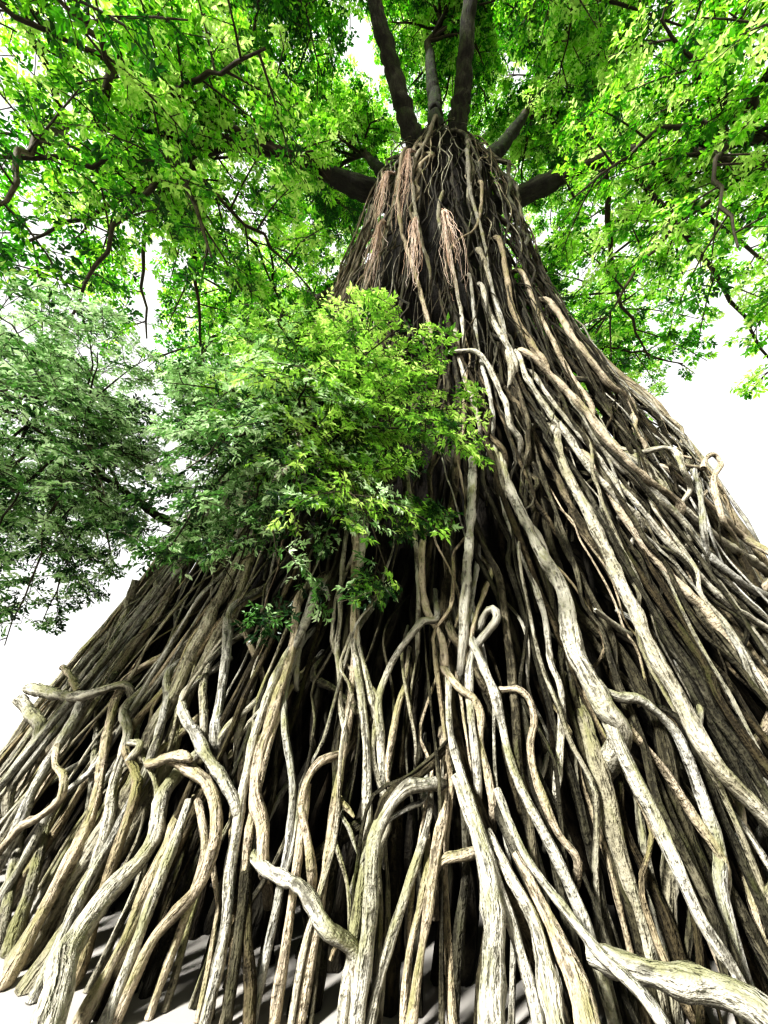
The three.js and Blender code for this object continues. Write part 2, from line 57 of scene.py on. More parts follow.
def placed(name, data):
    """A new object in the scene."""
    made = bpy.data.objects.new(name, data)
    bpy.context.scene.collection.objects.link(made)
    return made


def add_piece(name, mesh, slot, nodes):
    piece = placed(name, mesh)
    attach(piece, "root")
    if nodes:
        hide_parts(*nodes)


# Camera
EYE = (-0.6, -7.4, 1.5)
PITCH = 112  # degrees from straight down
SENSOR, LENS = 36, 13.54  # millimetres
SIGHT = 400  # how far the camera sees
camera_data = bpy.data.cameras.new("camera")
camera_data.sensor_width, camera_data.lens, camera_data.clip_end = SENSOR, LENS, SIGHT
camera = placed("camera", camera_data)
camera.location, camera.rotation_euler = EYE, (math.radians(PITCH), 0, 0)
bpy.context.scene.camera = camera

# The tree's own sizes, the same as in the part's source
FORK_HEIGHT = 17.0
LEAN = 0.075
TRUNK_SHARE = 0.72
FORK_FROM, FORK_LOSS = 15.6, 0.2
FLUTE_COUNT, FLUTE_DEPTH = 9, 0.1
CAGE_TOP_RADIUS, CAGE_SPREAD, CAGE_FALL, CAGE_HEIGHT = 0.9, 5.3, 9.0, 16.0
FRONT_FLATTENING = 0.2
SHOULDER_OUT, SHOULDER_AZIMUTH, SHOULDER_BREADTH = 0.8, -16, 26
SHOULDER_HEIGHT, SHOULDER_DEPTH = 4.7, 2.3
FOOT_DEPTH = -0.16
GOLDEN_SHARE = (math.sqrt(5) - 1) / 2
GOLDEN_ANGLE = 2 * math.pi * (1 - GOLDEN_SHARE)
UP = np.array([0.0, 0.0, 1.0])


def lerp(a, b, share):
    return a + (b - a) * share


def smoothstep(x, low, high):
    t = np.clip((np.asarray(x, float) - low) / (high - low), 0, 1)
    return t * t * (3 - 2 * t)


def unit(vectors):
    return vectors / np.maximum(np.linalg.norm(vectors, axis=-1, keepdims=True), 1e-9)


def around(azimuth, radius, height):
    """Places round the trunk's leaning line."""
    a = np.radians(azimuth)
    height = np.asarray(height, float)
    x, y = LEAN * height + radius * np.cos(a), radius * np.sin(a)
    return np.stack(np.broadcast_arrays(x, y, height), axis=-1).astype(float)


def cage_radius(azimuth, height):
    """How far the outer roots stand from the trunk's line."""
    azimuth, low = np.asarray(azimuth, float), np.maximum(height, 0)
    round_part = CAGE_TOP_RADIUS + CAGE_SPREAD * np.exp(-low / CAGE_FALL)
    front = np.maximum(0, -np.sin(np.radians(azimuth)))
    flat = 1 - FRONT_FLATTENING * front * np.maximum(0, 1 - low / CAGE_HEIGHT)
    off = (azimuth - SHOULDER_AZIMUTH + 180) % 360 - 180
    bulge = np.exp(-((off / SHOULDER_BREADTH) ** 2))
    bulge = bulge * np.exp(-(((low - SHOULDER_HEIGHT) / SHOULDER_DEPTH) ** 2))
    return round_part * flat + SHOULDER_OUT * bulge


def trunk_radius(azimuth, height):
    narrowing = 1 - FORK_LOSS * smoothstep(height, FORK_FROM, FORK_HEIGHT)
    return TRUNK_SHARE * cage_radius(azimuth, height) * narrowing


def outward_from_trunk(line):
    """The level direction away from the trunk's line at each point, and the one sideways to it."""
    outward = unit(line * [1, 1, 0] - np.outer(line[:, 2] * LEAN, [1, 0, 0]))
    return outward, np.cross(UP, outward)


# Node groups
GEOMETRY = "NodeSocketGeometry"
FLOAT = "NodeSocketFloat"
COLOR = "NodeSocketColor"
MATERIAL = "NodeSocketMaterial"
ARROW = "FLOAT_VECTOR"


class Nodes:
    """Builds up one node tree. Its calls give an output of the node that they add."""

    def __init__(self, tree):
        self.tree = tree

    def feed(self, value, socket):
        """Sets a socket to a value, or links it where the value is a socket too."""
        if isinstance(value, bpy.types.NodeSocket):
            self.tree.links.new(value, socket)
        else:
            socket.default_value = value

    def add(self, kind, values=None, output=0, **settings):
        made = self.tree.nodes.new(kind)
        for key, value in settings.items():
            setattr(made, key, value)
        for key, value in (values or {}).items():
            self.feed(value, made.inputs[key])
        return made.outputs[output]

    def maths(self, operation, a, b, clamp=False):
        return self.add("ShaderNodeMath", {0: a, 1: b}, operation=operation, use_clamp=clamp)

    def part(self, value, share):
        return self.maths("MULTIPLY", value, share)

    def total(self, first, *others):
        for value in others:
            first = self.maths("ADD", first, value)
        return first

    def vectors(self, operation, a, b):
        """b is a number where the operation is SCALE, and otherwise a vector."""
        key = "Scale" if operation == "SCALE" else 1
        return self.add("ShaderNodeVectorMath", {0: a, key: b}, operation=operation)

    def up_part(self, vector):
        return self.add("ShaderNodeSeparateXYZ", {0: vector}, "Z")

    def noise(self, place, stretch, scale, detail=2.0, roughness=0.5, distortion=0.0):
        """stretch scales the height, or the way along a limb."""
        if stretch != 1:
            place = self.vectors("MULTIPLY", place, (1, 1, stretch))
        return self.add("ShaderNodeTexNoise", {
            "Vector": place, "Scale": scale, "Detail": detail, "Roughness": roughness,
            "Distortion": distortion,
        })

    def told(self, name, data_type):
        """What an attribute says, inside a geometry tree."""
        return self.add("GeometryNodeInputNamedAttribute", {"Name": name}, "Attribute", data_type=data_type)

    def noted(self, geometry, name, value):
        values = {"Geometry": geometry, "Name": name, "Value": value}
        return self.add("GeometryNodeStoreNamedAttribute", values, data_type=ARROW, domain="POINT")


def new_group(name, kind, inputs, outputs):
    """A node group whose sockets are given by label and type: its nodes, its inputs and its outputs."""
    tree = bpy.data.node_groups.new(name, kind)
    for in_out, sockets in (("INPUT", inputs), ("OUTPUT", outputs)):
        for label, socket_type in sockets.items():
            tree.interface.new_socket(label, in_out=in_out, socket_type=socket_type)
    given, result = tree.nodes.new("NodeGroupInput"), tree.nodes.new("NodeGroupOutput")
    return Nodes(tree), given.outputs, result.inputs


TONE_SHIFT = 97.0  # moves the grain of each root along, so that no two are alike
ALL_BELOW = -1000


def strand_tree():
    """Sweeps lines into round limbs of their own girth, with bark relief, cut flat at the ground.
    Their grain attribute is a place on the unbent limb: across it in two directions, and along it."""
    nodes, given, result = new_group("bark_strands", "GeometryNodeTree", {
        "Geometry": GEOMETRY, "Sides": "NodeSocketInt", "Relief": FLOAT, "Relief Scale": FLOAT,
        "Ridges": FLOAT, "Ridge Scale": FLOAT, "Bark": MATERIAL,
    }, {"Geometry": GEOMETRY})

    def bumps(stretch, scale, depth):
        height = nodes.noise(place, stretch, given[scale])
        return nodes.part(nodes.maths("SUBTRACT", height, 0.5), given[depth])

    girth = nodes.told("girth", "FLOAT")
    place = nodes.add("GeometryNodeInputPosition")
    line = nodes.add("GeometryNodeMeshToCurve", {"Mesh": given["Geometry"]})
    along = nodes.add("GeometryNodeSplineParameter", output="Length")
    along = nodes.total(along, nodes.part(nodes.told("tone", "FLOAT"), TONE_SHIFT))
    along = nodes.add("ShaderNodeCombineXYZ", {"Z": along})
    ring = nodes.add("GeometryNodeCurvePrimitiveCircle", {"Resolution": given["Sides"], "Radius": 1.0})
    limb = nodes.add("GeometryNodeCurveToMesh", {
        "Curve": nodes.noted(line, "grain", along), "Profile Curve": nodes.noted(ring, "across", place),
        "Scale": girth, "Fill Caps": True,
    })
    across = nodes.vectors("SCALE", nodes.told("across", ARROW), girth)
    limb = nodes.noted(limb, "grain", nodes.vectors("ADD", nodes.told("grain", ARROW), across))
    limb = nodes.add("GeometryNodeRemoveAttribute", {"Geometry": limb, "Name": "across"})
    rise = nodes.total(bumps(0.6, "Relief Scale", "Relief"), bumps(0.16, "Ridge Scale", "Ridges"))
    rise = nodes.part(nodes.part(rise, girth), 2.0)
    push = nodes.vectors("SCALE", nodes.add("GeometryNodeInputNormal"), rise)
    limb = nodes.add("GeometryNodeSetPosition", {"Geometry": limb, "Offset": push})
    above = nodes.vectors("MAXIMUM", place, (ALL_BELOW, ALL_BELOW, 0))
    limb = nodes.add("GeometryNodeSetPosition", {"Geometry": limb, "Position": above})
    limb = nodes.add("GeometryNodeSetShadeSmooth", {"Geometry": limb})
    limb = nodes.add("GeometryNodeRealizeInstances", {"Geometry": limb})
    limb = nodes.add("GeometryNodeSetMaterial", {"Geometry": limb, "Material": given["Bark"]})
    nodes.feed(limb, result["Geometry"])
    return nodes.tree


def leaf_tree(tint_count):
    """Sets a leaf on every point, turned and sized by the point, and deals out the tints."""
    tints = [f"Tint {k + 1}" for k in range(tint_count)]
    nodes, given, result = new_group(f"leaves_in_{tint_count}_tints", "GeometryNodeTree", {
        "Geometry": GEOMETRY, "Leaf": "NodeSocketObject", "Length": FLOAT, "Width": FLOAT,
        **dict.fromkeys(tints, MATERIAL),
    }, {"Geometry": GEOMETRY})
    turn = nodes.add("FunctionNodeAxesToRotation", {
        "Primary Axis": nodes.told("heading", ARROW), "Secondary Axis": nodes.told("face", ARROW),
    }, primary_axis="X", secondary_axis="Z")
    size = nodes.told("size", "FLOAT")
    length, width = (nodes.part(given[side], size) for side in ("Length", "Width"))
    leaves = nodes.add("GeometryNodeInstanceOnPoints", {
        "Points": given["Geometry"], "Rotation": turn,
        "Instance": nodes.add("GeometryNodeObjectInfo", {"Object": given["Leaf"]}, "Geometry"),
        "Scale": nodes.add("ShaderNodeCombineXYZ", {"X": length, "Y": width, "Z": length}),
    })
    leaves = nodes.add("GeometryNodeRealizeInstances", {"Geometry": leaves})
    for k, tint in enumerate(tints):
        values = {2: nodes.told("tint", "INT"), 3: k}
        same = nodes.add("FunctionNodeCompare", values, data_type="INT", operation="EQUAL")
        values = {"Geometry": leaves, "Selection": same, "Material": given[tint]}
        leaves = nodes.add("GeometryNodeSetMaterial", values)
    nodes.feed(leaves, result["Geometry"])
    return nodes.tree


def grown(name, source, tree, values, slot, nodes):
    """The plain mesh that a node tree makes from a source mesh, as a piece that replaces CAD nodes."""
    carrier = placed(name + "_carrier", source)
    modifier = carrier.modifiers.new("growth", "NODES")
    modifier.node_group = tree
    for item in tree.interface.items_tree:
        if item.item_type == "SOCKET" and item.in_out == "INPUT" and item.name in values:
            modifier[item.identifier] = values[item.name]
    depsgraph = bpy.context.evaluated_depsgraph_get()
    mesh = bpy.data.meshes.new_from_object(carrier.evaluated_get(depsgraph), depsgraph=depsgraph)
    mesh.name = name
    for spare in ("girth", "heading", "face", "size", "tint"):
        if spare in mesh.attributes:
            mesh.attributes.remove(mesh.attributes[spare])
    bpy.data.objects.remove(carrier)
    add_piece(name, mesh, slot, nodes)


# Lines that limbs follow
SAMPLES = 14  # points on each stretch of a line


def smooth_line(points):
    """A centripetal Catmull-Rom line through the points, finely sampled, with its length at each sample."""
    p = np.asarray(points, float)
    p = np.vstack([2 * p[0] - p[1], p, 2 * p[-1] - p[-2]])
    u = np.linspace(0, 1, SAMPLES, endpoint=False)[:, None]
    dense = []
    for i in range(1, len(p) - 2):
        p0, p1, p2, p3 = p[i - 1 : i + 3]
        a, b, c = (max(math.sqrt(np.linalg.norm(d)), 1e-4) for d in (p1 - p0, p2 - p1, p3 - p2))
        m1 = p2 - p1 + b * ((p1 - p0) / a - (p2 - p0) / (a + b))
        m2 = p2 - p1 + b * ((p3 - p2) / c - (p3 - p1) / (b + c))
        cubic, square = 2 * (p1 - p2) + m1 + m2, -3 * (p1 - p2) - 2 * m1 - m2
        dense.append(cubic * u**3 + square * u**2 + m1 * u + p1)
    line = np.vstack([*dense, p[-2]])
    length = np.concatenate([[0], np.cumsum(np.linalg.norm(np.diff(line, axis=0), axis=1))])
    return line, length


def at_lengths(line, length, wanted):
    return np.stack([np.interp(wanted, length, line[:, k]) for k in range(3)], axis=1)


def even_line(points, step):
    line, length = smooth_line(points)
    count = max(2, int(round(length[-1] / step)) + 1)
    return at_lengths(line, length, np.linspace(0, length[-1], count))


class Lines:
    """Lines gathered for one piece, each with its girth and a tone from 0 to 1."""

    def __init__(self):
        self.points, self.girths, self.tones, self.edges, self.count = [], [], [], [], 0

    def add(self, points, girth, tone):
        n = len(points)
        self.points.append(points)
        self.girths.append(np.broadcast_to(girth, n))
        self.tones.append(np.full(n, tone))
        index = np.arange(self.count, self.count + n)
        self.edges.append(np.stack([index[:-1], index[1:]], axis=1))
        self.count += n

    def mesh(self, name):
        mesh = bpy.data.meshes.new(name)
        mesh.from_pydata(np.vstack(self.points).tolist(), np.vstack(self.edges).tolist(), [])
        for label, values in (("girth", self.girths), ("tone", self.tones)):
            attribute = mesh.attributes.new(label, "FLOAT", "POINT")
            attribute.data.foreach_set("value", np.concatenate(values).astype(np.float32))
        return mesh


# Roots. A station is [azimuth, height, distance out from the cage].
ROOT_DEPTH = 0.8
ROOT_LEAVES = 1.8
# How far main roots and forks sway, in degrees, and how fast
MAIN_SWAY, FORK_SWAY = (1.4, 9), (0.6, 6)
FOOT_FLARE, FOOT_FLARE_SHARE = 0.35, 0.07
FOOT_SCATTER = (-0.15, 0.33)


def station_points(stations):
    azimuth, height, out = np.asarray(stations, float).T
    return around(azimuth, cage_radius(azimuth, height) + out, height)


def root_girth(top, foot, share):
    return lerp(top, foot, share) * (1 + FOOT_FLARE * np.exp(-(1 - share) / FOOT_FLARE_SHARE))


def seeded(seed):
    """The part's own source of numbers from 0 to 1, the same on every run."""
    state = seed
    mask = 0xFFFFFFFF

    def draw():
        nonlocal state
        state = (state + 0x6D2B79F5) & mask
        t = ((state ^ (state >> 15)) * (1 | state)) & mask
        t = ((t + (((t ^ (t >> 7)) * (61 | t)) & mask)) & mask) ^ t
        return ((t ^ (t >> 14)) & mask) / 2**32

    return draw


def dropping_stations(top_azimuth, top_height, foot_azimuth, phase, foot_out):
    stations = []
    for share in np.linspace(0, 1, 6):
        height = lerp(top_height, FOOT_DEPTH, share)
        wave = math.sin(phase + MAIN_SWAY[1] * share) * math.sin(math.pi * share)
        azimuth = lerp(top_azimuth, foot_azimuth, smoothstep(share, 0, 1)) + MAIN_SWAY[0] * wave
        cage = cage_radius(azimuth, height)
        in_trunk = trunk_radius(azimuth, height) * ROOT_DEPTH
        radius = lerp(in_trunk, cage, smoothstep(share, -0.05, 0.2)) + foot_out * share**3
        stations.append([azimuth, height, radius - cage])
    return stations


def fork_stations(start, foot_azimuth, phase, foot_out, layer):
    azimuth, height, out = start
    stations = []
    for share in np.linspace(0, 1, 4):
        wave = math.sin(phase + FORK_SWAY[1] * share) * math.sin(math.pi * share)
        along = lerp(azimuth, foot_azimuth, smoothstep(share, 0, 0.8)) + FORK_SWAY[0] * wave
        level = lerp(height, FOOT_DEPTH, share)
        inward = (layer - 1) * cage_radius(along, level) * smoothstep(share, 0, 0.5)
        stations.append([along, level, lerp(out, foot_out, share) + inward])
    return stations


def station_at(stations, height):
    for before, after in zip(stations, stations[1:]):
        if after[1] <= height:
            share = (before[1] - height) / (before[1] - after[1])
            return [lerp(a, b, share) for a, b in zip(before, after)]
    return stations[-1]


def from_trunk(azimuth, height, first):
    """The top of a front root, from inside the trunk to its first station."""
    depth = trunk_radius(azimuth, height) * ROOT_DEPTH - cage_radius(azimuth, height)
    leave = height - ROOT_LEAVES
    between = [lerp(azimuth, first[0], 0.5), lerp(leave, first[1], 0.5), 0]
    return [[azimuth, height, depth], [azimuth, leave, -0.06], between]


# The front roots that stand out. Each has the top of its main root and that root's stations and girths,
# the roots that branch from it, and ruled forks, given by where they leave it and their foot.
FOOT = FOOT_DEPTH
FRONT_ROOTS = {
    "front": ((-90, 15.1), [
        [-90, 5.5, 0], [-91.5, 3.3, 0], [-93, 2, 0], [-92.5, 1.3, 0.06], [-91, 0.78, 0.11],
        [-88.5, 0.3, 0.15], [-87, FOOT, 0.2]
    ], (0.05, 0.1), [
        ([[-92.8, 1.65, 0.02], [-92.2, 0.96, 0.07], [-91.8, 0.57, 0.07], [-92.6, FOOT, 0.09]],
         (0.045, 0.065)),
        ([[-92.8, 1.75, 0.01], [-89.5, 1.18, 0.12], [-87, 0.65, 0.15], [-84.6, FOOT, 0.22]], (0.04, 0.055)),
        ([[-92.5, 1.15, 0.07], [-95.6, 0.93, 0.15], [-98, 0.84, 0.19], [-98.6, 0.54, 0.17],
         [-98.4, FOOT, 0.13]], (0.05, 0.05)),
    ], [(6.6, -95.8), (4.3, -88.4)]),
    "front_left": ((-106, 14.9), [
        [-107, 5, 0], [-106.5, 3.1, 0], [-104, 2, 0], [-102.8, 1.3, 0], [-101.6, 0.76, 0], [-101.4, FOOT, 0]
    ], (0.045, 0.07), [
        ([[-106.8, 3.6, 0], [-108.5, 2.17, 0.04], [-110, 1.71, 0.06], [-110, 1.04, 0.06],
         [-110.4, 0.51, 0.04], [-110.8, FOOT, 0.04]], (0.04, 0.065)),
        ([[-110, 1.04, 0.06], [-108, 0.73, 0.09], [-106, 0.49, 0.11], [-104.6, 0.26, 0.17],
         [-103.6, FOOT, 0.19]], (0.045, 0.055)),
    ], [(6.8, -112.2), (4.7, -107)]),
    "left_foot": ((-121, 15.2), [
        [-121.5, 5, 0], [-121, 3, 0], [-120, 1.26, 0], [-118.5, 0.68, 0.04], [-118.2, 0.25, 0.1],
        [-118.8, FOOT, 0.2]
    ], (0.05, 0.15), [
        ([[-120.7, 1.9, 0], [-122.5, 1.05, 0.06], [-119.5, 0.93, 0.17], [-116.6, 0.78, 0.17],
         [-115.2, 0.48, 0.11], [-115, FOOT, 0.11]], (0.05, 0.06)),
        ([[-121, 2.7, 0], [-124.5, 1.9, 0], [-125.6, 0.9, 0], [-126.4, FOOT, 0.04]], (0.04, 0.06)),
    ], [(7, -128), (5.2, -123)]),
    "far_left": ((-138, 14.7), [
        [-137, 4.6, 0], [-136, 2.6, 0], [-134, 1.35, 0], [-136, 0.7, 0], [-137, FOOT, 0]
    ], (0.05, 0.09), [
        ([[-134, 1.35, 0], [-132.2, 1.45, 0.1], [-130.6, 1.1, 0.12], [-131, 0.5, 0.06],
         [-131.4, FOOT, 0.06]], (0.05, 0.05)),
        ([[-136, 2.6, 0], [-139.6, 1.5, 0.02], [-140.4, 0.8, 0.02], [-141, FOOT, 0.02]], (0.045, 0.065)),
    ], [(7.2, -143.6), (5.6, -133.6)]),
    "front_right": ((-79, 14.8), [
        [-78.5, 5.2, 0], [-79, 3.07, 0], [-80, 2.1, 0], [-78, 1.62, 0.09], [-76.8, 1.2, 0.14],
        [-77.4, 0.75, 0.12], [-77.4, 0.42, 0.12], [-76.8, FOOT, 0.15]
    ], (0.05, 0.09), [
        ([[-77, 1.27, 0.13], [-74.8, 1.18, 0.15], [-74, 0.7, 0.11], [-73.6, FOOT, 0.11]], (0.05, 0.06)),
        ([[-78.6, 5, 0], [-75, 3.9, 0.14], [-73.2, 2.7, 0.19], [-71.8, 1.9, 0.2], [-70.8, 1.16, 0.2],
         [-70.4, FOOT, 0.23]], (0.045, 0.07)),
    ], [(6.8, -82.6), (4.6, -80)]),
    "right_runner": ((-68, 15.2), [
        [-71, 5.6, 0], [-66, 4.4, 0], [-61, 3.5, 0], [-58, 2.55, 0], [-56.5, 1.65, 0], [-56, FOOT, 0]
    ], (0.05, 0.08), [
        ([[-68.5, 5, 0], [-67.6, 3.6, 0], [-67, 2.2, 0], [-66.4, FOOT, 0.04]], (0.04, 0.065)),
        ([[-61.5, 3.6, 0], [-61.8, 2.4, 0.04], [-61.6, 1.2, 0.06], [-61.2, FOOT, 0.06]], (0.035, 0.06)),
    ], [(7, -63.8), (4.4, -58.6)]),
    "right_shoulder": ((-54, 15), [
        [-58, 6.2, 0], [-52, 4.4, 0], [-47, 3, 0.02], [-43, 1.5, 0.02], [-42, FOOT, 0.02]
    ], (0.05, 0.09), [
        ([[-53.5, 4.8, 0], [-52, 3, 0], [-51, 1.5, 0], [-50.5, FOOT, 0.04]], (0.04, 0.065)),
    ], [(5, -46.4), (3, -38.4)]),
}

TOP_HEIGHTS = (13.3, 15.0)
# Degrees that a ruled root's foot lies from its sector's middle, and how far out its forks reach
FOOT_SHIFT, INNER_SHIFT, FORK_REACH = (-1.5, 1.5), (-4, 4), (0.75, 1)
# Where the forks leave it, as shares of its height
FORK_LEAVES, INNER_LEAVES = (0.35, 0.65), (0.5, 0.6)
# The ranges of a root's girth at its top and its foot
MAIN_GIRTHS = ((0.05, 0.06), (0.075, 0.11))
FORK_GIRTHS = ((0.04, 0.05), (0.055, 0.075))


def drawn_girths(ranges, random):
    return tuple(lerp(low, high, random()) for low, high in ranges)


def ruled_fork(main, height, foot_azimuth, random, layer):
    phase = random() * 6
    foot_out = lerp(*FOOT_SCATTER, random()) * (1 if layer == 1 else 0)
    stations = fork_stations(station_at(main, height), foot_azimuth, phase, foot_out, layer)
    return stations, drawn_girths(FORK_GIRTHS, random)


def front_bundle(top, stations, girth, branches, forks, index):
    random = seeded(60 + index)
    main = from_trunk(*top, stations[0]) + stations
    ruled = [ruled_fork(main, height, foot, random, 1) for height, foot in forks]
    return [(main, girth), *branches, *ruled]


SECTOR_FIRST, SECTOR_STEP, SECTOR_COUNT, SECTOR_REACH = -29, 15.2, 16, 5.6
INNER_LAYER = 0.86


def ruled_bundle(index):
    random = seeded(100 + index)
    middle = SECTOR_FIRST + index * SECTOR_STEP
    top_height = lerp(*TOP_HEIGHTS, random())
    foot = middle + lerp(*FOOT_SHIFT, random())
    phase = random() * 6
    main = dropping_stations(middle, top_height, foot, phase, lerp(*FOOT_SCATTER, random()))
    strands = [(main, drawn_girths(MAIN_GIRTHS, random))]
    for side in (-1, 1):
        foot = middle + side * SECTOR_REACH * lerp(*FORK_REACH, random())
        strands.append(ruled_fork(main, top_height * lerp(*FORK_LEAVES, random()), foot, random, 1))
    inner_top = top_height * lerp(*INNER_LEAVES, random())
    strands.append(ruled_fork(main, inner_top, middle + lerp(*INNER_SHIFT, random()), random, INNER_LAYER))
    return strands


bundles = {f"roots_{name}": front_bundle(*b, i) for i, (name, b) in enumerate(FRONT_ROOTS.items())}
bundles.update({f"roots_{i + 1:02}": ruled_bundle(i) for i in range(SECTOR_COUNT)})

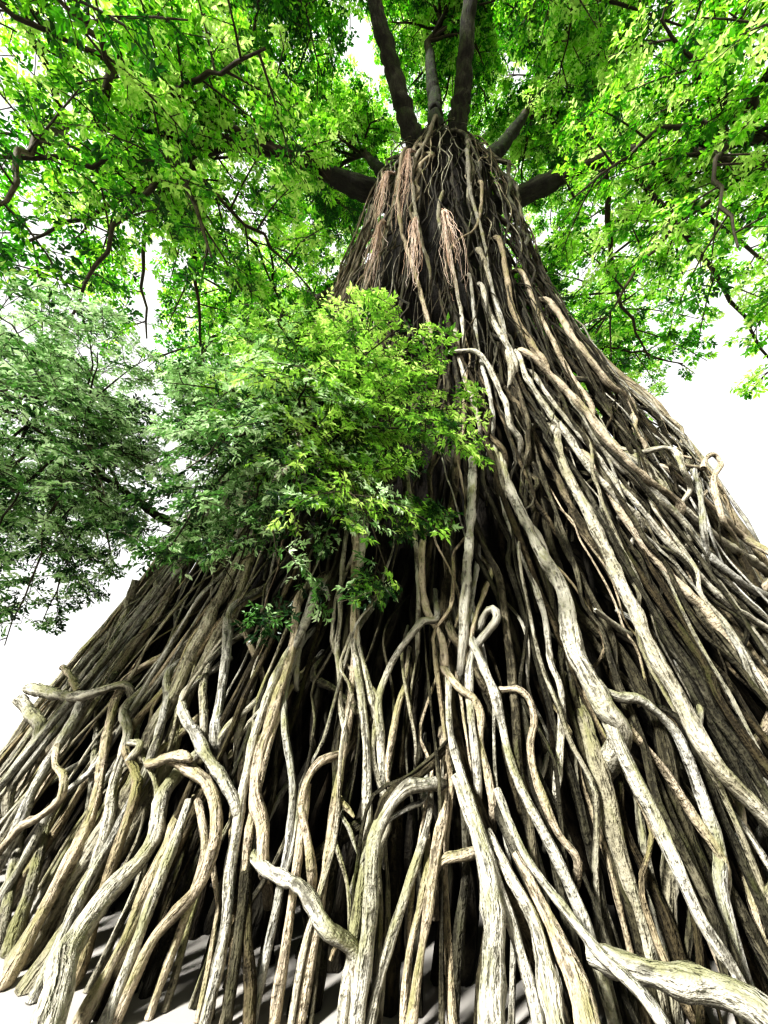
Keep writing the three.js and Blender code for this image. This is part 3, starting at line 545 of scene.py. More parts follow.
# The roots nearest the viewer, where they wander, arch and knot together. Each is its girth at both
# ends in millimetres, its tone, and its stations in degrees and centimetres. Those of the first list
# end in the ground or behind another root, and those of the second in a cut or broken tip.
NEAR_ROOTS = [
    (50, 28, 0.8, (-108.5, 353, 0), (-106.3, 300, 8), (-102.3, 169, 8), (-101.3, 50, 8), (-101.3, -10, 8)),
    (25, 19, 0.6, (-106.8, 285, 0), (-102.6, 129, 8), (-101.5, 110, 12)),
    (49, 23, 0.9, (-105.8, 350, 0), (-104.2, 298, 8), (-102.2, 177, 8), (-98.8, 110, 8), (-97.8, 70, 5)),
    (26, 29, 0.9, (-102, 169, 10), (-100.9, 142, 14), (-98.8, 67, 14), (-99, 17, 14), (-99, -10, 14)),
    (47, 38, 1, (-93, 80, -10), (-94.1, 87, 10), (-95.4, 89, 20), (-96.5, 88, 22), (-97.2, 83, 22),
     (-98.2, 67, 20), (-98, 33, 20), (-98.2, -10, 20)),
    (14, 16, 0.7, (-95.2, 80, 10), (-96.2, 78, 16), (-97.9, 70, 18), (-99.4, 46, 10)),
    (32, 31, 0.95, (-93.7, 83, 10), (-94.4, 68, 20), (-94.7, 39, 20), (-95.8, -10, 20)),
    (20, 27, 0.9, (-94.9, 74, 10), (-95.7, 57, 16), (-97.3, 20, 16), (-98, -10, 16)),
    (18, 25, 0.8, (-95, 55, 12), (-95.8, 28, 14), (-95.8, -10, 14)),
    (17, 15, 0.35, (-97.9, 68, 0), (-97.4, 46, 3), (-97.2, -10, 3)),
    (29, 31, 0.8, (-91.6, 61, 10), (-92.6, 61, 18), (-94.3, 58, 18)),
    (55, 35, 1, (-88.6, 372, 0), (-92.3, 154, 10)),
    (23, 18, 0.7, (-89.2, 257, 2), (-92.2, 155, 8)),
    (33, 29, 1, (-90.4, 176, 10), (-90.1, 186, 16), (-89.5, 190, 20), (-89.1, 185, 22), (-91.1, 162, 14),
     (-91.6, 150, 14), (-91.6, 87, 14)),
    (25, 22, 0.8, (-88.5, 222, 5), (-89.6, 206, 10), (-91.1, 169, 12)),
    (32, 29, 1, (-91.2, 165, 14), (-90, 136, 20), (-89.1, 96, 20), (-86.6, 45, 20), (-85.7, -10, 20)),
    (29, 31, 0.8, (-93.8, 155, 5), (-93.1, 145, 14), (-92.2, 136, 18), (-91.3, 131, 18), (-90.9, 122, 16),
     (-91.1, 108, 14), (-90.6, 80, 14)),
    (24, 36, 1, (-93.5, 147, 10), (-93.6, 112, 16), (-91.5, 61, 26), (-90, 24, 26), (-89.4, -10, 26)),
    (14, 12, 0.8, (-92.6, 138, 10), (-91.9, 91, 10)),
    (14, 15, 0.5, (-93.5, 130, 4), (-93.8, 87, 6)),
    (35, 72, 1, (-93.1, 92, 16), (-91.7, 52, 30), (-92, 23, 36), (-92.1, -10, 39)),
    (38, 24, 0.95, (-101.3, 101, 5), (-102.7, 97, 18), (-103.2, 88, 20), (-103.3, 77, 18), (-102.1, 51, 12)),
    (29, 26, 0.95, (-103.3, 87, 18), (-102.5, -10, 9)),
    (17, 16, 0.6, (-101.2, 66, 8), (-99.6, 42, 8), (-98.5, -10, 8)),
    (28, 42, 1, (-106.4, 55, 10), (-104.9, 51, 16), (-102, 49, 26), (-100.2, 39, 30), (-98.8, 29, 20),
     (-98, -10, 11)),
    (27, 19, 0.6, (-99.4, 346, 0), (-96.6, 234, 8), (-96.2, 169, 8)),
    (31, 28, 0.8, (-96.1, 251, 5), (-95.5, 195, 10), (-93.8, 169, 12), (-93.6, 150, 10)),
    (34, 29, 1, (-94.5, 183, 12), (-95.6, 182, 18), (-96.5, 174, 20), (-99.2, 135, 14), (-98.7, 109, 10)),
    (14, 13, 0.5, (-97.5, 154, 10), (-96, 103, 4)),
    (45, 20, 0.9, (-84.9, 388, 0), (-85.2, 277, 8), (-83.6, 192, 8), (-83.8, 169, 8), (-84.3, 150, 14),
     (-84, 136, 14), (-86, 78, 6)),
    (50, 63, 0.9, (-84.1, 373, 0), (-84.2, 325, 8), (-83, 250, 16), (-82.2, 204, 24), (-83, 161, 28),
     (-82.9, 147, 30), (-82.3, 125, 32), (-81.6, 117, 30)),
    (51, 35, 1, (-82, 120, 30), (-81.4, 85, 28), (-80.4, 43, 28), (-79.8, 28, 30), (-79.3, -10, 33)),
    (29, 35, 0.85, (-81.4, 137, 25), (-80.9, 133, 32), (-79.5, 132, 34), (-77.5, 118, 32), (-77, 107, 30),
     (-76.9, 59, 22), (-77.6, 46, 20), (-78.6, -10, 17)),
    (30, 29, 0.8, (-80.6, 116, 28), (-78.8, 97, 24), (-77.7, 74, 20), (-77.1, 55, 20)),
    (27, 28, 0.8, (-81, 103, 20), (-80.8, 80, 20), (-79.7, 38, 20), (-79.7, -10, 20)),
    (52, 50, 0.5, (-73.7, 406, 10), (-75.3, 350, 16), (-76.1, 184, 32), (-76.7, 111, 40), (-76.4, 99, 40),
     (-74.3, 64, 40)),
    (46, 42, 0.8, (-68.2, 376, 5), (-68.3, 339, 10), (-67.4, 301, 8), (-63.9, 219, 8), (-62.4, 201, 8),
     (-61.4, 170, 8), (-61.2, 123, 8)),
    (49, 50, 0.7, (-59.2, 390, 5), (-58.4, 354, 8), (-53.6, 287, 8), (-52.2, 257, 8), (-49.1, 234, 8),
     (-39.8, 212, 8)),
    (40, 38, 0.9, (-65.3, 357, 5), (-64.1, 326, 8), (-56.6, 205, 8), (-53.6, 194, 8), (-50.6, 174, 8)),
    (56, 61, 0.6, (-54.2, 390, 5), (-54.3, 345, 8), (-51.3, 316, 8), (-47.1, 292, 8), (-34, 237, 18)),
    (45, 47, 0.8, (-47, 387, 5), (-44.7, 359, 8), (-39.4, 331, 8), (-33.7, 307, 13), (-38, 261, 33)),
    (28, 28, 0.7, (-70.6, 170, 5), (-70.8, 147, 8), (-70.1, 108, 8), (-69.3, 91, 8), (-68, 75, 8)),
    (20, 28, 0.9, (-73.4, 109, 10), (-70.6, 125, 8)),
    (51, 52, 0.2, (-81.2, 135, -10), (-82.2, 105, 8), (-82.5, 57, 8), (-82.3, -10, -2)),
    (19, 21, 0.25, (-83.3, 107, 2), (-83.6, 87, 4), (-83.2, 57, 4), (-83.4, -10, 4)),
    (28, 30, 0.3, (-79, 80, -5), (-79.9, 63, 0), (-81.5, -10, 0)),
    (32, 37, 0.35, (-77.7, 59, -5), (-78.8, 47, 0), (-80.6, 22, 0), (-82.1, -10, 0)),
    (25, 24, 1, (-90.4, 87, 20), (-89.5, 66, 30), (-87.7, 43, 42), (-86.2, 32, 60), (-85.6, -10, 67)),
    (29, 58, 0.9, (-91.3, 69, 18), (-89.3, 37, 34), (-89.6, 24, 42), (-90, -10, 48)),
    (26, 64, 0.95, (-89.7, 62, 20), (-88.7, 40, 38), (-88.5, 29, 50), (-88.5, -10, 59)),
    (44, 76, 1, (-87, 34, 30), (-85.5, 37, 48), (-82.5, 36, 72), (-81.3, -10, 84)),
    (27, 23, 0.95, (-89.7, 137, 12), (-88, 137, 22), (-87.3, 131, 22), (-87.1, 120, 20), (-87.6, 107, 18),
     (-87.6, 93, 18), (-86.7, 68, 18), (-85.9, 59, 18)),
    (28, 25, 0.8, (-71.6, 74, 5), (-73.1, 60, 8), (-74.7, 35, 8), (-75.4, -10, 8)),
    (20, 20, 0.7, (-73.9, 56, 10), (-74.8, 21, 10), (-75.1, -10, 10)),
    (19, 20, 0.6, (-76.3, 55, 15), (-77.3, 30, 8), (-78.2, -10, 2)),
    (20, 22, 0.9, (-73, 66, 10), (-72, -10, 10)),
    (34, 38, 0.9, (-92.4, 543, 10), (-89.5, 534, 20), (-86.8, 526, 25), (-82.7, 436, 20), (-82.2, 396, 16),
     (-80.6, 380, 10)),
    (42, 40, 0.9, (-76.4, 555, 10), (-75.8, 493, 12), (-72.2, 406, 12), (-70.6, 369, 12), (-67.4, 310, 12),
     (-64.9, 286, 10)),
    (48, 51, 0.8, (-74.5, 552, 15), (-68.3, 489, 16), (-65.7, 453, 16), (-62.1, 375, 16), (-58.1, 345, 14),
     (-53.4, 319, 12)),
    (34, 31, 0.9, (-73.3, 521, 5), (-71.8, 473, 8), (-66, 309, 8)),
    (34, 38, 0.6, (-66.2, 506, 5), (-65.2, 428, 8), (-63.5, 381, 8), (-60.9, 350, 8), (-54.3, 282, 8)),
    (34, 30, 0.9, (-85, 380, 0), (-84.6, 329, 6), (-83.8, 293, 10), (-81.5, 239, 10)),
    (54, 39, 0.5, (-80.7, 845, 10), (-78.7, 766, 8), (-78.1, 661, 8), (-78.3, 571, 8), (-79.3, 493, 8)),
    (41, 40, 0.9, (-82.1, 727, 10), (-80.5, 645, 8), (-77.6, 512, 8)),
    (33, 29, 0.7, (-85.2, 755, 10), (-84.9, 655, 8), (-85.3, 556, 8), (-84.8, 406, 8)),
    (57, 48, 0.4, (-71.1, 909, 10), (-72.9, 665, 8), (-70.8, 581, 8), (-68.8, 525, 8)),
    (36, 34, 0.6, (-90.6, 597, 10), (-89.8, 519, 8), (-87.3, 394, 8)),
    (45, 39, 0.8, (-64.4, 815, 10), (-63.1, 711, 8), (-62.1, 527, 8), (-61.3, 459, 8)),
    (59, 38, 0.9, (-146, 130, 40), (-131.4, 127, 25), (-127.9, 133, 25), (-126.8, 136, 15)),
    (64, 46, 0.9, (-145, 120, 40), (-142.4, 104, 18), (-137.1, 94, 16), (-133, 55, 15)),
    (47, 35, 0.85, (-131.4, 124, 20), (-129.8, 95, 20), (-129.9, 80, 18), (-128.7, 38, 12), (-128, -10, 9)),
    (27, 27, 0.8, (-128.9, 94, 25), (-125.6, 85, 30), (-123, 81, 32), (-122.2, 71, 30), (-124, 59, 25),
     (-126.6, 48, 20), (-130.5, -10, 13)),
    (35, 41, 0.95, (-128.2, 140, 10), (-120.3, 56, 14), (-119.1, 33, 20), (-118.2, -10, 26)),
    (41, 33, 0.9, (-125.6, 122, 10), (-122, 104, 14), (-119.9, 74, 14), (-118.5, 60, 14), (-117.7, 45, 14),
     (-116.5, -10, 14)),
    (38, 36, 0.85, (-123.1, 148, 5), (-120.3, 127, 10), (-117.8, 91, 14), (-117.3, 61, 14), (-116.4, 34, 20),
     (-115.8, -10, 26)),
    (40, 27, 0.95, (-115.1, 95, 20), (-110.1, 83, 26), (-108.5, 65, 26), (-108.4, 46, 26), (-109.4, 32, 26),
     (-110.2, -10, 26)),
    (27, 27, 0.8, (-111.2, 76, 18), (-109.1, 56, 20), (-109.1, -10, 15)),
    (45, 74, 0.9, (-115.3, 76, 10), (-113.4, 55, 18), (-113.6, 39, 30), (-113, 26, 42), (-111.6, 20, 50),
     (-109.5, -10, 62)),
    (36, 38, 0.8, (-112.5, 65, 14), (-111.7, 55, 20), (-111.3, 26, 28), (-111.8, -10, 33)),
    (28, 35, 1, (-112.1, 75, 16), (-110.7, 34, 26), (-110.4, -10, 29)),
    (35, 38, 1, (-118.5, 130, 10), (-112.6, 103, 20), (-110.6, 92, 20), (-108.1, 72, 16)),
    (40, 37, 0.85, (-118.8, 198, 5), (-116.7, 171, 8), (-113.7, 121, 8), (-112.2, 105, 14)),
    (33, 31, 0.5, (-118.3, 156, 2), (-113.9, 103, 8)),
    (21, 23, 0.9, (-110.3, 127, 10), (-111.7, 108, 16)),
    (38, 30, 0.6, (-113, 183, 0), (-111.3, 138, 6), (-110.7, 102, 6)),
    (43, 30, 1, (-107.9, 212, 5), (-108.2, 166, 14), (-108.8, 150, 16), (-109, 114, 16), (-107.3, 53, 16),
     (-106.3, 30, 16), (-105.8, -10, 16)),
    (46, 35, 0.95, (-109.4, 203, 10), (-108, 162, 14), (-107.8, 93, 14), (-107.2, 79, 14), (-106, 67, 14),
     (-105.4, 55, 14)),
    (27, 24, 0.7, (-108.1, 162, 8), (-107.8, 135, 10), (-106.9, 114, 10), (-104.8, 82, 10), (-104.3, 64, 10),
     (-103.5, -10, 10)),
    (25, 22, 0.8, (-107.8, 129, 8), (-106.7, 62, 14), (-105.4, 29, 14), (-105, -10, 14)),
    (20, 18, 0.4, (-110.5, 87, 0), (-109.5, 68, 2), (-106.6, 25, 2), (-105.6, -10, 2)),
    (28, 24, 0.3, (-134.1, 122, -5), (-128.2, 92, 0), (-124.6, 67, 0), (-122.6, 48, 0), (-119.6, -10, 0)),
    (55, 51, 0.6, (-144.2, 249, 25), (-144.9, 220, 14), (-142.9, 190, 6), (-137, 162, 8)),
    (11, 14, 0.4, (-99.8, 26, 20), (-99.2, 33, 20), (-98.8, 29, 20), (-98.2, -10, 20)),
    (38, 43, 0.3, (-128.2, 58, 0), (-122.9, 20, 8), (-120.9, -10, 10)),
    (36, 36, 0.3, (-133.4, 52, 0), (-129.1, 36, 4), (-124, 11, 8), (-122, -10, 10)),
    (14, 15, 0.8, (-108.5, 52, 16), (-106.9, 27, 12), (-106.3, -10, 12)),
    (65, 34, 0.9, (-100.3, 1479, 10), (-105.8, 1346, 10), (-111.9, 1259, 12), (-111.4, 1181, 12),
     (-101.7, 874, 10), (-97.8, 762, 8)),
    (42, 28, 0.9, (-94, 1073, 10), (-95.7, 1004, 12), (-94.6, 910, 12), (-91, 802, 12), (-89, 675, 10),
     (-88.5, 564, 8)),
    (44, 25, 0.8, (-73.8, 1140, 10), (-75.8, 1035, 12), (-81.3, 914, 12), (-89.3, 859, 12), (-92.6, 773, 8)),
    (47, 29, 0.7, (-80, 1288, 10), (-80.6, 1084, 12), (-77.7, 882, 12), (-78.4, 716, 10), (-77.9, 584, 8)),
    (63, 35, 0.8, (-121.1, 1362, 10), (-119.1, 1166, 14), (-111, 942, 12), (-96.2, 578, 8)),
    (61, 39, 0.8, (-57.1, 745, 10), (-56.8, 619, 20), (-55.4, 574, 20), (-51.9, 530, 15), (-47.8, 509, 15),
     (-51.5, 444, 10), (-50.6, 414, 5)),
    (38, 29, 0.9, (-54.3, 400, 10), (-54.3, 398, 20), (-52.8, 399, 30), (-52.3, 390, 35), (-53.7, 360, 35),
     (-51.6, 340, 25), (-52, 329, 15)),
    (38, 36, 0.8, (-44, 385, 30), (-42.4, 403, 35), (-40.6, 411, 40), (-40.3, 398, 40), (-43.5, 368, 30),
     (-45, 311, 20), (-40.8, 287, 10)),
    (39, 32, 0.7, (-43.6, 387, 20), (-52.7, 322, 30), (-54.2, 285, 20), (-53.4, 265, 10)),
]
CUT_ROOTS = [
    (26, 24, 0.7, (-107.4, 135, 0), (-107.9, 181, 10), (-107.8, 204, 15), (-107.3, 213, 20),
     (-106.4, 213, 25), (-105.7, 207, 25), (-105.3, 199, 20)),
    (21, 17, 0.8, (-101.4, 81, 8), (-99.8, 72, 12)),
    (17, 13, 0.7, (-100.8, 72, 8), (-100, 67, 12), (-99.3, 58, 12)),
    (24, 20, 0.8, (-97.1, 137, 5), (-97.4, 128, 10), (-97.9, 98, 10), (-97.7, 81, 8)),
    (15, 10, 0.5, (-96.2, 158, 6), (-96.5, 130, 8)),
    (27, 22, 0.9, (-74.6, 174, 5), (-80.4, 189, 35)),
    (31, 32, 0.8, (-132.6, 130, 25), (-140.7, 149, 30), (-144.1, 150, 30)),
    (25, 28, 0.9, (-120.8, 100, 16), (-118.7, 100, 20), (-119.9, 87, 16)),
    (31, 34, 0.8, (-117.7, 90, 14), (-113.6, 98, 28), (-112.1, 97, 30)),
]


def wander(random, count, knots):
    """A kinked line of sideways shifts that starts and ends at nothing."""
    knots = max(3, knots)
    at = np.linspace(0, 1, count)
    kinks = np.sort(random.uniform(0.02, 0.98, knots))
    line = np.interp(at, kinks, random.normal(size=knots))
    window = np.hanning(max(3, count // (knots * 2)) + 2)[1:-1]
    padded = np.pad(line, len(window) // 2 + 1, mode="edge")
    smooth = np.convolve(padded, window / window.sum(), mode="same")
    offset = (len(smooth) - count) // 2
    return smooth[offset : offset + count] * np.sin(np.pi * at) ** 0.4


# In steps along the root
SWELL_EVERY, KNUCKLE_EVERY, KNUCKLE_WIDTHS = 9, 22, (0.8, 2.2)
SLIMMEST, THICKEST = 0.55, 1.8


def knobbly(random, count, spread, bulge):
    """Girth factors of a root: slow swelling and a few knuckles."""
    at = np.linspace(0, 1, count)
    swell = 1 + spread * wander(random, count, max(4, count // SWELL_EVERY))
    for place in random.uniform(0.05, 0.95, max(1, count // KNUCKLE_EVERY)):
        width = random.uniform(*KNUCKLE_WIDTHS) / count
        swell += bulge * random.uniform(0.3, 1) * np.exp(-(((at - place) / width) ** 2))
    return np.clip(swell, SLIMMEST, THICKEST)


UNDERGROUND = 0.04


def into_ground(points, widths):
    """Ends a line straight down into the ground where it first goes under."""
    under = np.nonzero(points[:, 2] < 0)[0]
    if not len(under) or under[0] == 0:
        return points, widths
    last = under[0]
    a, b = points[last - 1], points[last]
    foot = lerp(a, b, a[2] / (a[2] - b[2]))
    widths = np.append(widths[:last], [widths[last], widths[last]])
    return np.vstack([points[:last], foot, foot - UNDERGROUND * UP]), widths


FINE_BELOW, COARSE_OVER = 4.0, 2.5
KNOT_EVERY = 0.5
ROUNDED_TIP = (0.9, 0.45)


def root_line(lines, random, points, girth, tone, steps, kink=0.045, bulge=0.3, rounded=False):
    """Adds one root that wanders as roots do. steps are its steps near the ground and high up, and
    girth gives its girth by the share of its length."""
    line, length = smooth_line(points)
    wanted, s = [], 0.0
    while s < length[-1]:
        wanted.append(s)
        height = np.interp(s, length, line[:, 2])
        s += lerp(*steps, float(smoothstep(height, FINE_BELOW, FINE_BELOW + COARSE_OVER)))
    wanted = np.array([*wanted[:-1], length[-1]]) if len(wanted) > 3 else np.linspace(0, length[-1], 4)
    path = at_lengths(line, length, wanted)
    outward, sideways = outward_from_trunk(path)
    count, knots = len(path), int(length[-1] / KNOT_EVERY)
    path = path + sideways * (kink * wander(random, count, knots))[:, None]
    path = path + outward * (kink * 0.5 * wander(random, count, knots))[:, None]
    widths = girth(wanted / length[-1]) * knobbly(random, count, 0.1, bulge)
    if rounded:
        widths[-2:] *= ROUNDED_TIP
    lines.add(*into_ground(path, widths), tone)


def flared(top, foot):
    return lambda share: root_girth(top, foot, share)


def tapered(start, end):
    return lambda share: lerp(start, end, share)


TUCK = 0.28
STANDS_CLEAR = 0.16


def tucked(stations, last=True):
    """The stations with ends that go on behind the other roots."""
    stations = [list(s) for s in stations]
    azimuth, height, out = stations[0]
    if out < STANDS_CLEAR:
        stations.insert(0, [azimuth, height + TUCK, out - TUCK])
    azimuth, height, out = stations[-1]
    if last and height > 0:
        stations.append([azimuth, height - TUCK, out - TUCK])
    return stations


# Bark
SKINS = ("Pale", "Wood", "Dark", "Moss")
COVERS = ("Pale Cover", "Moss Cover", "Stain Cover")


def bark_group():
    """Fig bark: pale smooth skin over wood and yellow-green moss, with painted shade on its down-facing
    sides, in the recesses and along the fine fissures of its relief, and darker higher up.
    """
    nodes, given, result = new_group("fig_bark", "ShaderNodeTree", {
        **dict.fromkeys(SKINS, COLOR), **dict.fromkeys(COVERS, FLOAT),
        **dict.fromkeys(("Grain Scale", "Dark Above", "Tone"), FLOAT), "Grain": "NodeSocketVector",
    }, {"Color": COLOR, "Roughness": FLOAT, "Height": FLOAT})
    maths, part, total = nodes.maths, nodes.part, nodes.total

    def ramp(value, low, high):
        values = {0: value, 1: low, 2: high, 3: 0.0, 4: 1.0}
        return nodes.add("ShaderNodeMapRange", values, interpolation_type="SMOOTHSTEP")

    def mix(factor, a, b, kind="MIX"):
        return nodes.add("ShaderNodeMix", {0: factor, 6: a, 7: b}, 2, data_type="RGBA", blend_type=kind)

    place = nodes.add("ShaderNodeTexCoord", output="Object")
    grain = nodes.vectors("SCALE", given["Grain"], given["Grain Scale"])
    broad = nodes.noise(place, 1, 2.1, 3.0, 0.6)
    blotches = nodes.noise(grain, 0.35, 13.0, 3.0, 0.62, 0.3)
    mottle = nodes.noise(grain, 0.5, 42.0, 3.0, 0.7)
    fibres = nodes.noise(grain, 0.07, 45.0, 2.0, 0.6)
    rings = nodes.noise(grain, 4, 11.0, 1.0, 0.5)
    facing = nodes.up_part(nodes.add("ShaderNodeNewGeometry", output="Normal"))
    tone, dark, dark_above = given["Tone"], given["Dark"], given["Dark Above"]
    high_up = ramp(nodes.up_part(place), dark_above, maths("ADD", dark_above, 8.0))
    cover = total(
        part(broad, 0.6), part(blotches, 0.9), part(tone, 0.4), part(high_up, -0.3), given["Pale Cover"]
    )
    colour = mix(ramp(cover, 0.75, 1.15), given["Wood"], given["Pale"])
    # Some roots are browner and some greyer than the rest
    hue = nodes.add("ShaderNodeMath", {0: part(tone, 7.3)}, operation="FRACT")
    colour = mix(part(ramp(hue, 0.6, 0.9), 0.45), colour, (1.0, 0.78, 0.58, 1), "MULTIPLY")
    colour = mix(part(ramp(hue, 0.4, 0.1), 0.7), colour, (0.84, 0.88, 1.0, 1), "MULTIPLY")
    mossy = total(part(broad, -0.6), part(blotches, 0.75), given["Moss Cover"])
    colour = mix(part(ramp(total(mossy, part(facing, 0.16)), 0.12, 0.34), 0.7), colour, given["Moss"])
    # Painted shade where the surface faces down, with a fine mottle of darker bark on its sides
    shade_below_and_mottle = ramp(total(part(facing, -0.5), part(mottle, 0.5)), 0.22, 0.6)
    raised = total(part(fibres, 0.55), part(blotches, 0.6), part(rings, 0.2), part(mottle, 0.6))
    # Painted shade in the recesses of the bark's relief, where its height is lowest
    hollow_shade = ramp(total(raised, part(given["Stain Cover"], -1.0)), 0.96, 0.78)
    # Painted shade along the fine fissures of the grain
    crack_shade = ramp(total(part(fibres, 0.7), part(mottle, 0.3)), 0.42, 0.34)
    # Mixes in the dark colour: painted shade below, in the recesses and along the fissures, and darker
    # higher up
    for darkened, share in ((shade_below_and_mottle, 0.8), (hollow_shade, 0.6), (crack_shade, 0.42), (high_up, 0.4)):
        colour = mix(part(darkened, share), colour, dark)
    nodes.feed(colour, result["Color"])
    nodes.feed(maths("ADD", 0.62, part(blotches, 0.4), True), result["Roughness"])
    nodes.feed(total(raised, part(hollow_shade, -0.15)), result["Height"])
    return nodes.tree


fig_bark = bark_group()


def new_material(name):
    """A material, its nodes and its shader's inputs."""
    made = bpy.data.materials.new(name)
    made.use_nodes = True
    return made, Nodes(made.node_tree), made.node_tree.nodes["Principled BSDF"].inputs


def bark_material(name, pale, wood, dark, moss, covers, fineness, bump, toned=True, dark_above=60.0):
    """covers are the shares of pale skin, moss and painted shade in recesses. A toned piece has tones and a
    grain.
    """
    made, nodes, shader = new_material(name)
    values = {key: (*tint, 1) for key, tint in zip(SKINS, (pale, wood, dark, moss))}
    values.update(zip(COVERS, covers))
    values.update({"Grain Scale": fineness, "Dark Above": dark_above})
    if toned:
        values["Tone"] = nodes.add("ShaderNodeAttribute", output="Fac", attribute_name="tone")
        values["Grain"] = nodes.add("ShaderNodeAttribute", output="Vector", attribute_name="grain")
    else:
        values["Tone"], values["Grain"] = 0.5, nodes.add("ShaderNodeTexCoord", output="Object")
    skin = nodes.add("ShaderNodeGroup", values, node_tree=fig_bark).node.outputs
    relief = nodes.add("ShaderNodeBump", {"Strength": 1.0, "Distance": bump, "Height": skin["Height"]})
    for value, key in ((skin["Color"], "Base Color"), (skin["Roughness"], "Roughness"), (relief, "Normal")):
        nodes.feed(value, shader[key])
    shader["Specular IOR Level"].default_value = 0.3
    return made


root_bark = bark_material(
    "root_bark", (0.6, 0.565, 0.46), (0.33, 0.3, 0.21), (0.04, 0.034, 0.02), (0.2, 0.2, 0.06),
    (-0.02, 0.03, 0.0), 1.0, 0.055, dark_above=3.5,
)
shaded_bark = bark_material(
    "shaded_root_bark", (0.26, 0.235, 0.165), (0.07, 0.062, 0.036), (0.006, 0.005, 0.003),
    (0.045, 0.052, 0.012), (-0.15, 0.0, 0.06), 1.0, 0.05, dark_above=3.5,
)
# Near-black bark of the inner roots: painted shade for the dark voids behind the outer ones
inner_bark = bark_material(
    "inner_bark", (0.07, 0.06, 0.04), (0.025, 0.021, 0.013), (0.003, 0.002, 0.001), (0.02, 0.023, 0.007),
    (0.0, 0.0, 0.05), 1.0, 0.03,
)
# Near-black bark of the trunk inside the root cage: painted shade, so the gaps between roots look dark
core_bark = bark_material(
    "core_bark", (0.03, 0.025, 0.018), (0.012, 0.01, 0.006), (0.002, 0.002, 0.001), (0.008, 0.011, 0.003),
    (0.0, 0.0, 0.05), 0.6, 0.05, toned=False,
)
neck_bark = bark_material(
    "neck_bark", (0.3, 0.28, 0.2), (0.09, 0.085, 0.05), (0.01, 0.009, 0.005), (0.07, 0.1, 0.02),
    (0.0, 0.05, 0.05), 1.0, 0.03,
)
bough_bark = bark_material(
    "bough_bark", (0.1, 0.1, 0.07), (0.035, 0.032, 0.02), (0.006, 0.005, 0.003), (0.035, 0.06, 0.012),
    (-0.1, 0.15, 0.05), 0.8, 0.05,
)
twig_bark = bark_material(
    "twig_bark", (0.14, 0.12, 0.085), (0.05, 0.04, 0.026), (0.012, 0.01, 0.006), (0.04, 0.06, 0.015),
    (0.0, 0.0, 0.0), 1.5, 0.01,
)
fibre_bark = bark_material(
    "hanging_root_bark", (0.7, 0.57, 0.45), (0.36, 0.26, 0.19), (0.08, 0.05, 0.035), (0.34, 0.32, 0.15),
    (0.0, -0.4, -0.1), 2.0, 0.004,
)


def leaf_material(name, base, through, share, gloss):
    """A leaf that lets some light through, with a faint puckered skin."""
    made, nodes, shader = new_material(name)
    shader["Base Color"].default_value = (*base, 1)
    pucker = nodes.noise(nodes.add("ShaderNodeTexCoord", output="Object"), 1, 55.0)
    rough = nodes.add("ShaderNodeMapRange", {0: pucker, 1: 0.2, 2: 0.8, 3: gloss, 4: gloss + 0.22})
    nodes.feed(rough, shader["Roughness"])
    relief = nodes.add("ShaderNodeBump", {"Strength": 0.5, "Distance": 0.006, "Height": pucker})
    nodes.feed(relief, shader["Normal"])
    skin = made.node_tree.nodes["Principled BSDF"].outputs[0]
    glow = nodes.add("ShaderNodeBsdfTranslucent", {"Color": (*through, 1)})
    both = nodes.add("ShaderNodeMixShader", {0: share, 1: skin, 2: glow})
    nodes.feed(both, made.node_tree.nodes["Material Output"].inputs["Surface"])
    return made


# From shade to full light
crown_tints = [leaf_material(f"crown_leaf_{name}", *values) for name, *values in (
    ("deep", (0.007, 0.045, 0.003), (0.02, 0.18, 0.004), 0.45, 0.34),
    ("green", (0.032, 0.13, 0.009), (0.14, 0.5, 0.015), 0.55, 0.34),
    ("fresh", (0.12, 0.29, 0.028), (0.46, 0.86, 0.07), 0.6, 0.34),
    ("lime", (0.29, 0.46, 0.12), (0.78, 0.98, 0.34), 0.6, 0.36),
)]
# The low shoots' lime leaves, then their grey-green ones, each running from shade to full light
shoot_tints = [leaf_material(*values) for values in (
    ("shoot_leaf_shade", (0.02, 0.07, 0.01), (0.04, 0.17, 0.015), 0.3, 0.28),
    ("shoot_leaf_green", (0.13, 0.29, 0.04), (0.22, 0.48, 0.05), 0.35, 0.28),
    ("shoot_leaf_fresh", (0.35, 0.58, 0.1), (0.48, 0.8, 0.13), 0.4, 0.3),
    ("shoot_leaf_lime", (0.62, 0.82, 0.24), (0.78, 0.97, 0.35), 0.4, 0.32),
    ("grey_leaf_shade", (0.012, 0.045, 0.01), (0.02, 0.09, 0.015), 0.25, 0.24),
    ("grey_leaf_green", (0.12, 0.25, 0.07), (0.14, 0.34, 0.07), 0.3, 0.24),
    ("grey_leaf_grey", (0.4, 0.55, 0.28), (0.38, 0.64, 0.24), 0.3, 0.24),
    ("grey_leaf_pale", (0.76, 0.88, 0.62), (0.66, 0.9, 0.5), 0.3, 0.24),
)]


# Trunk
TOP_ROUNDING, TOP_LOSS = 0.9, 0.75
RIDGE_COUNTS = (17, 26, 41, 58)
RIDGE_DEPTH = 0.6  # shared out among the ridges of one ring


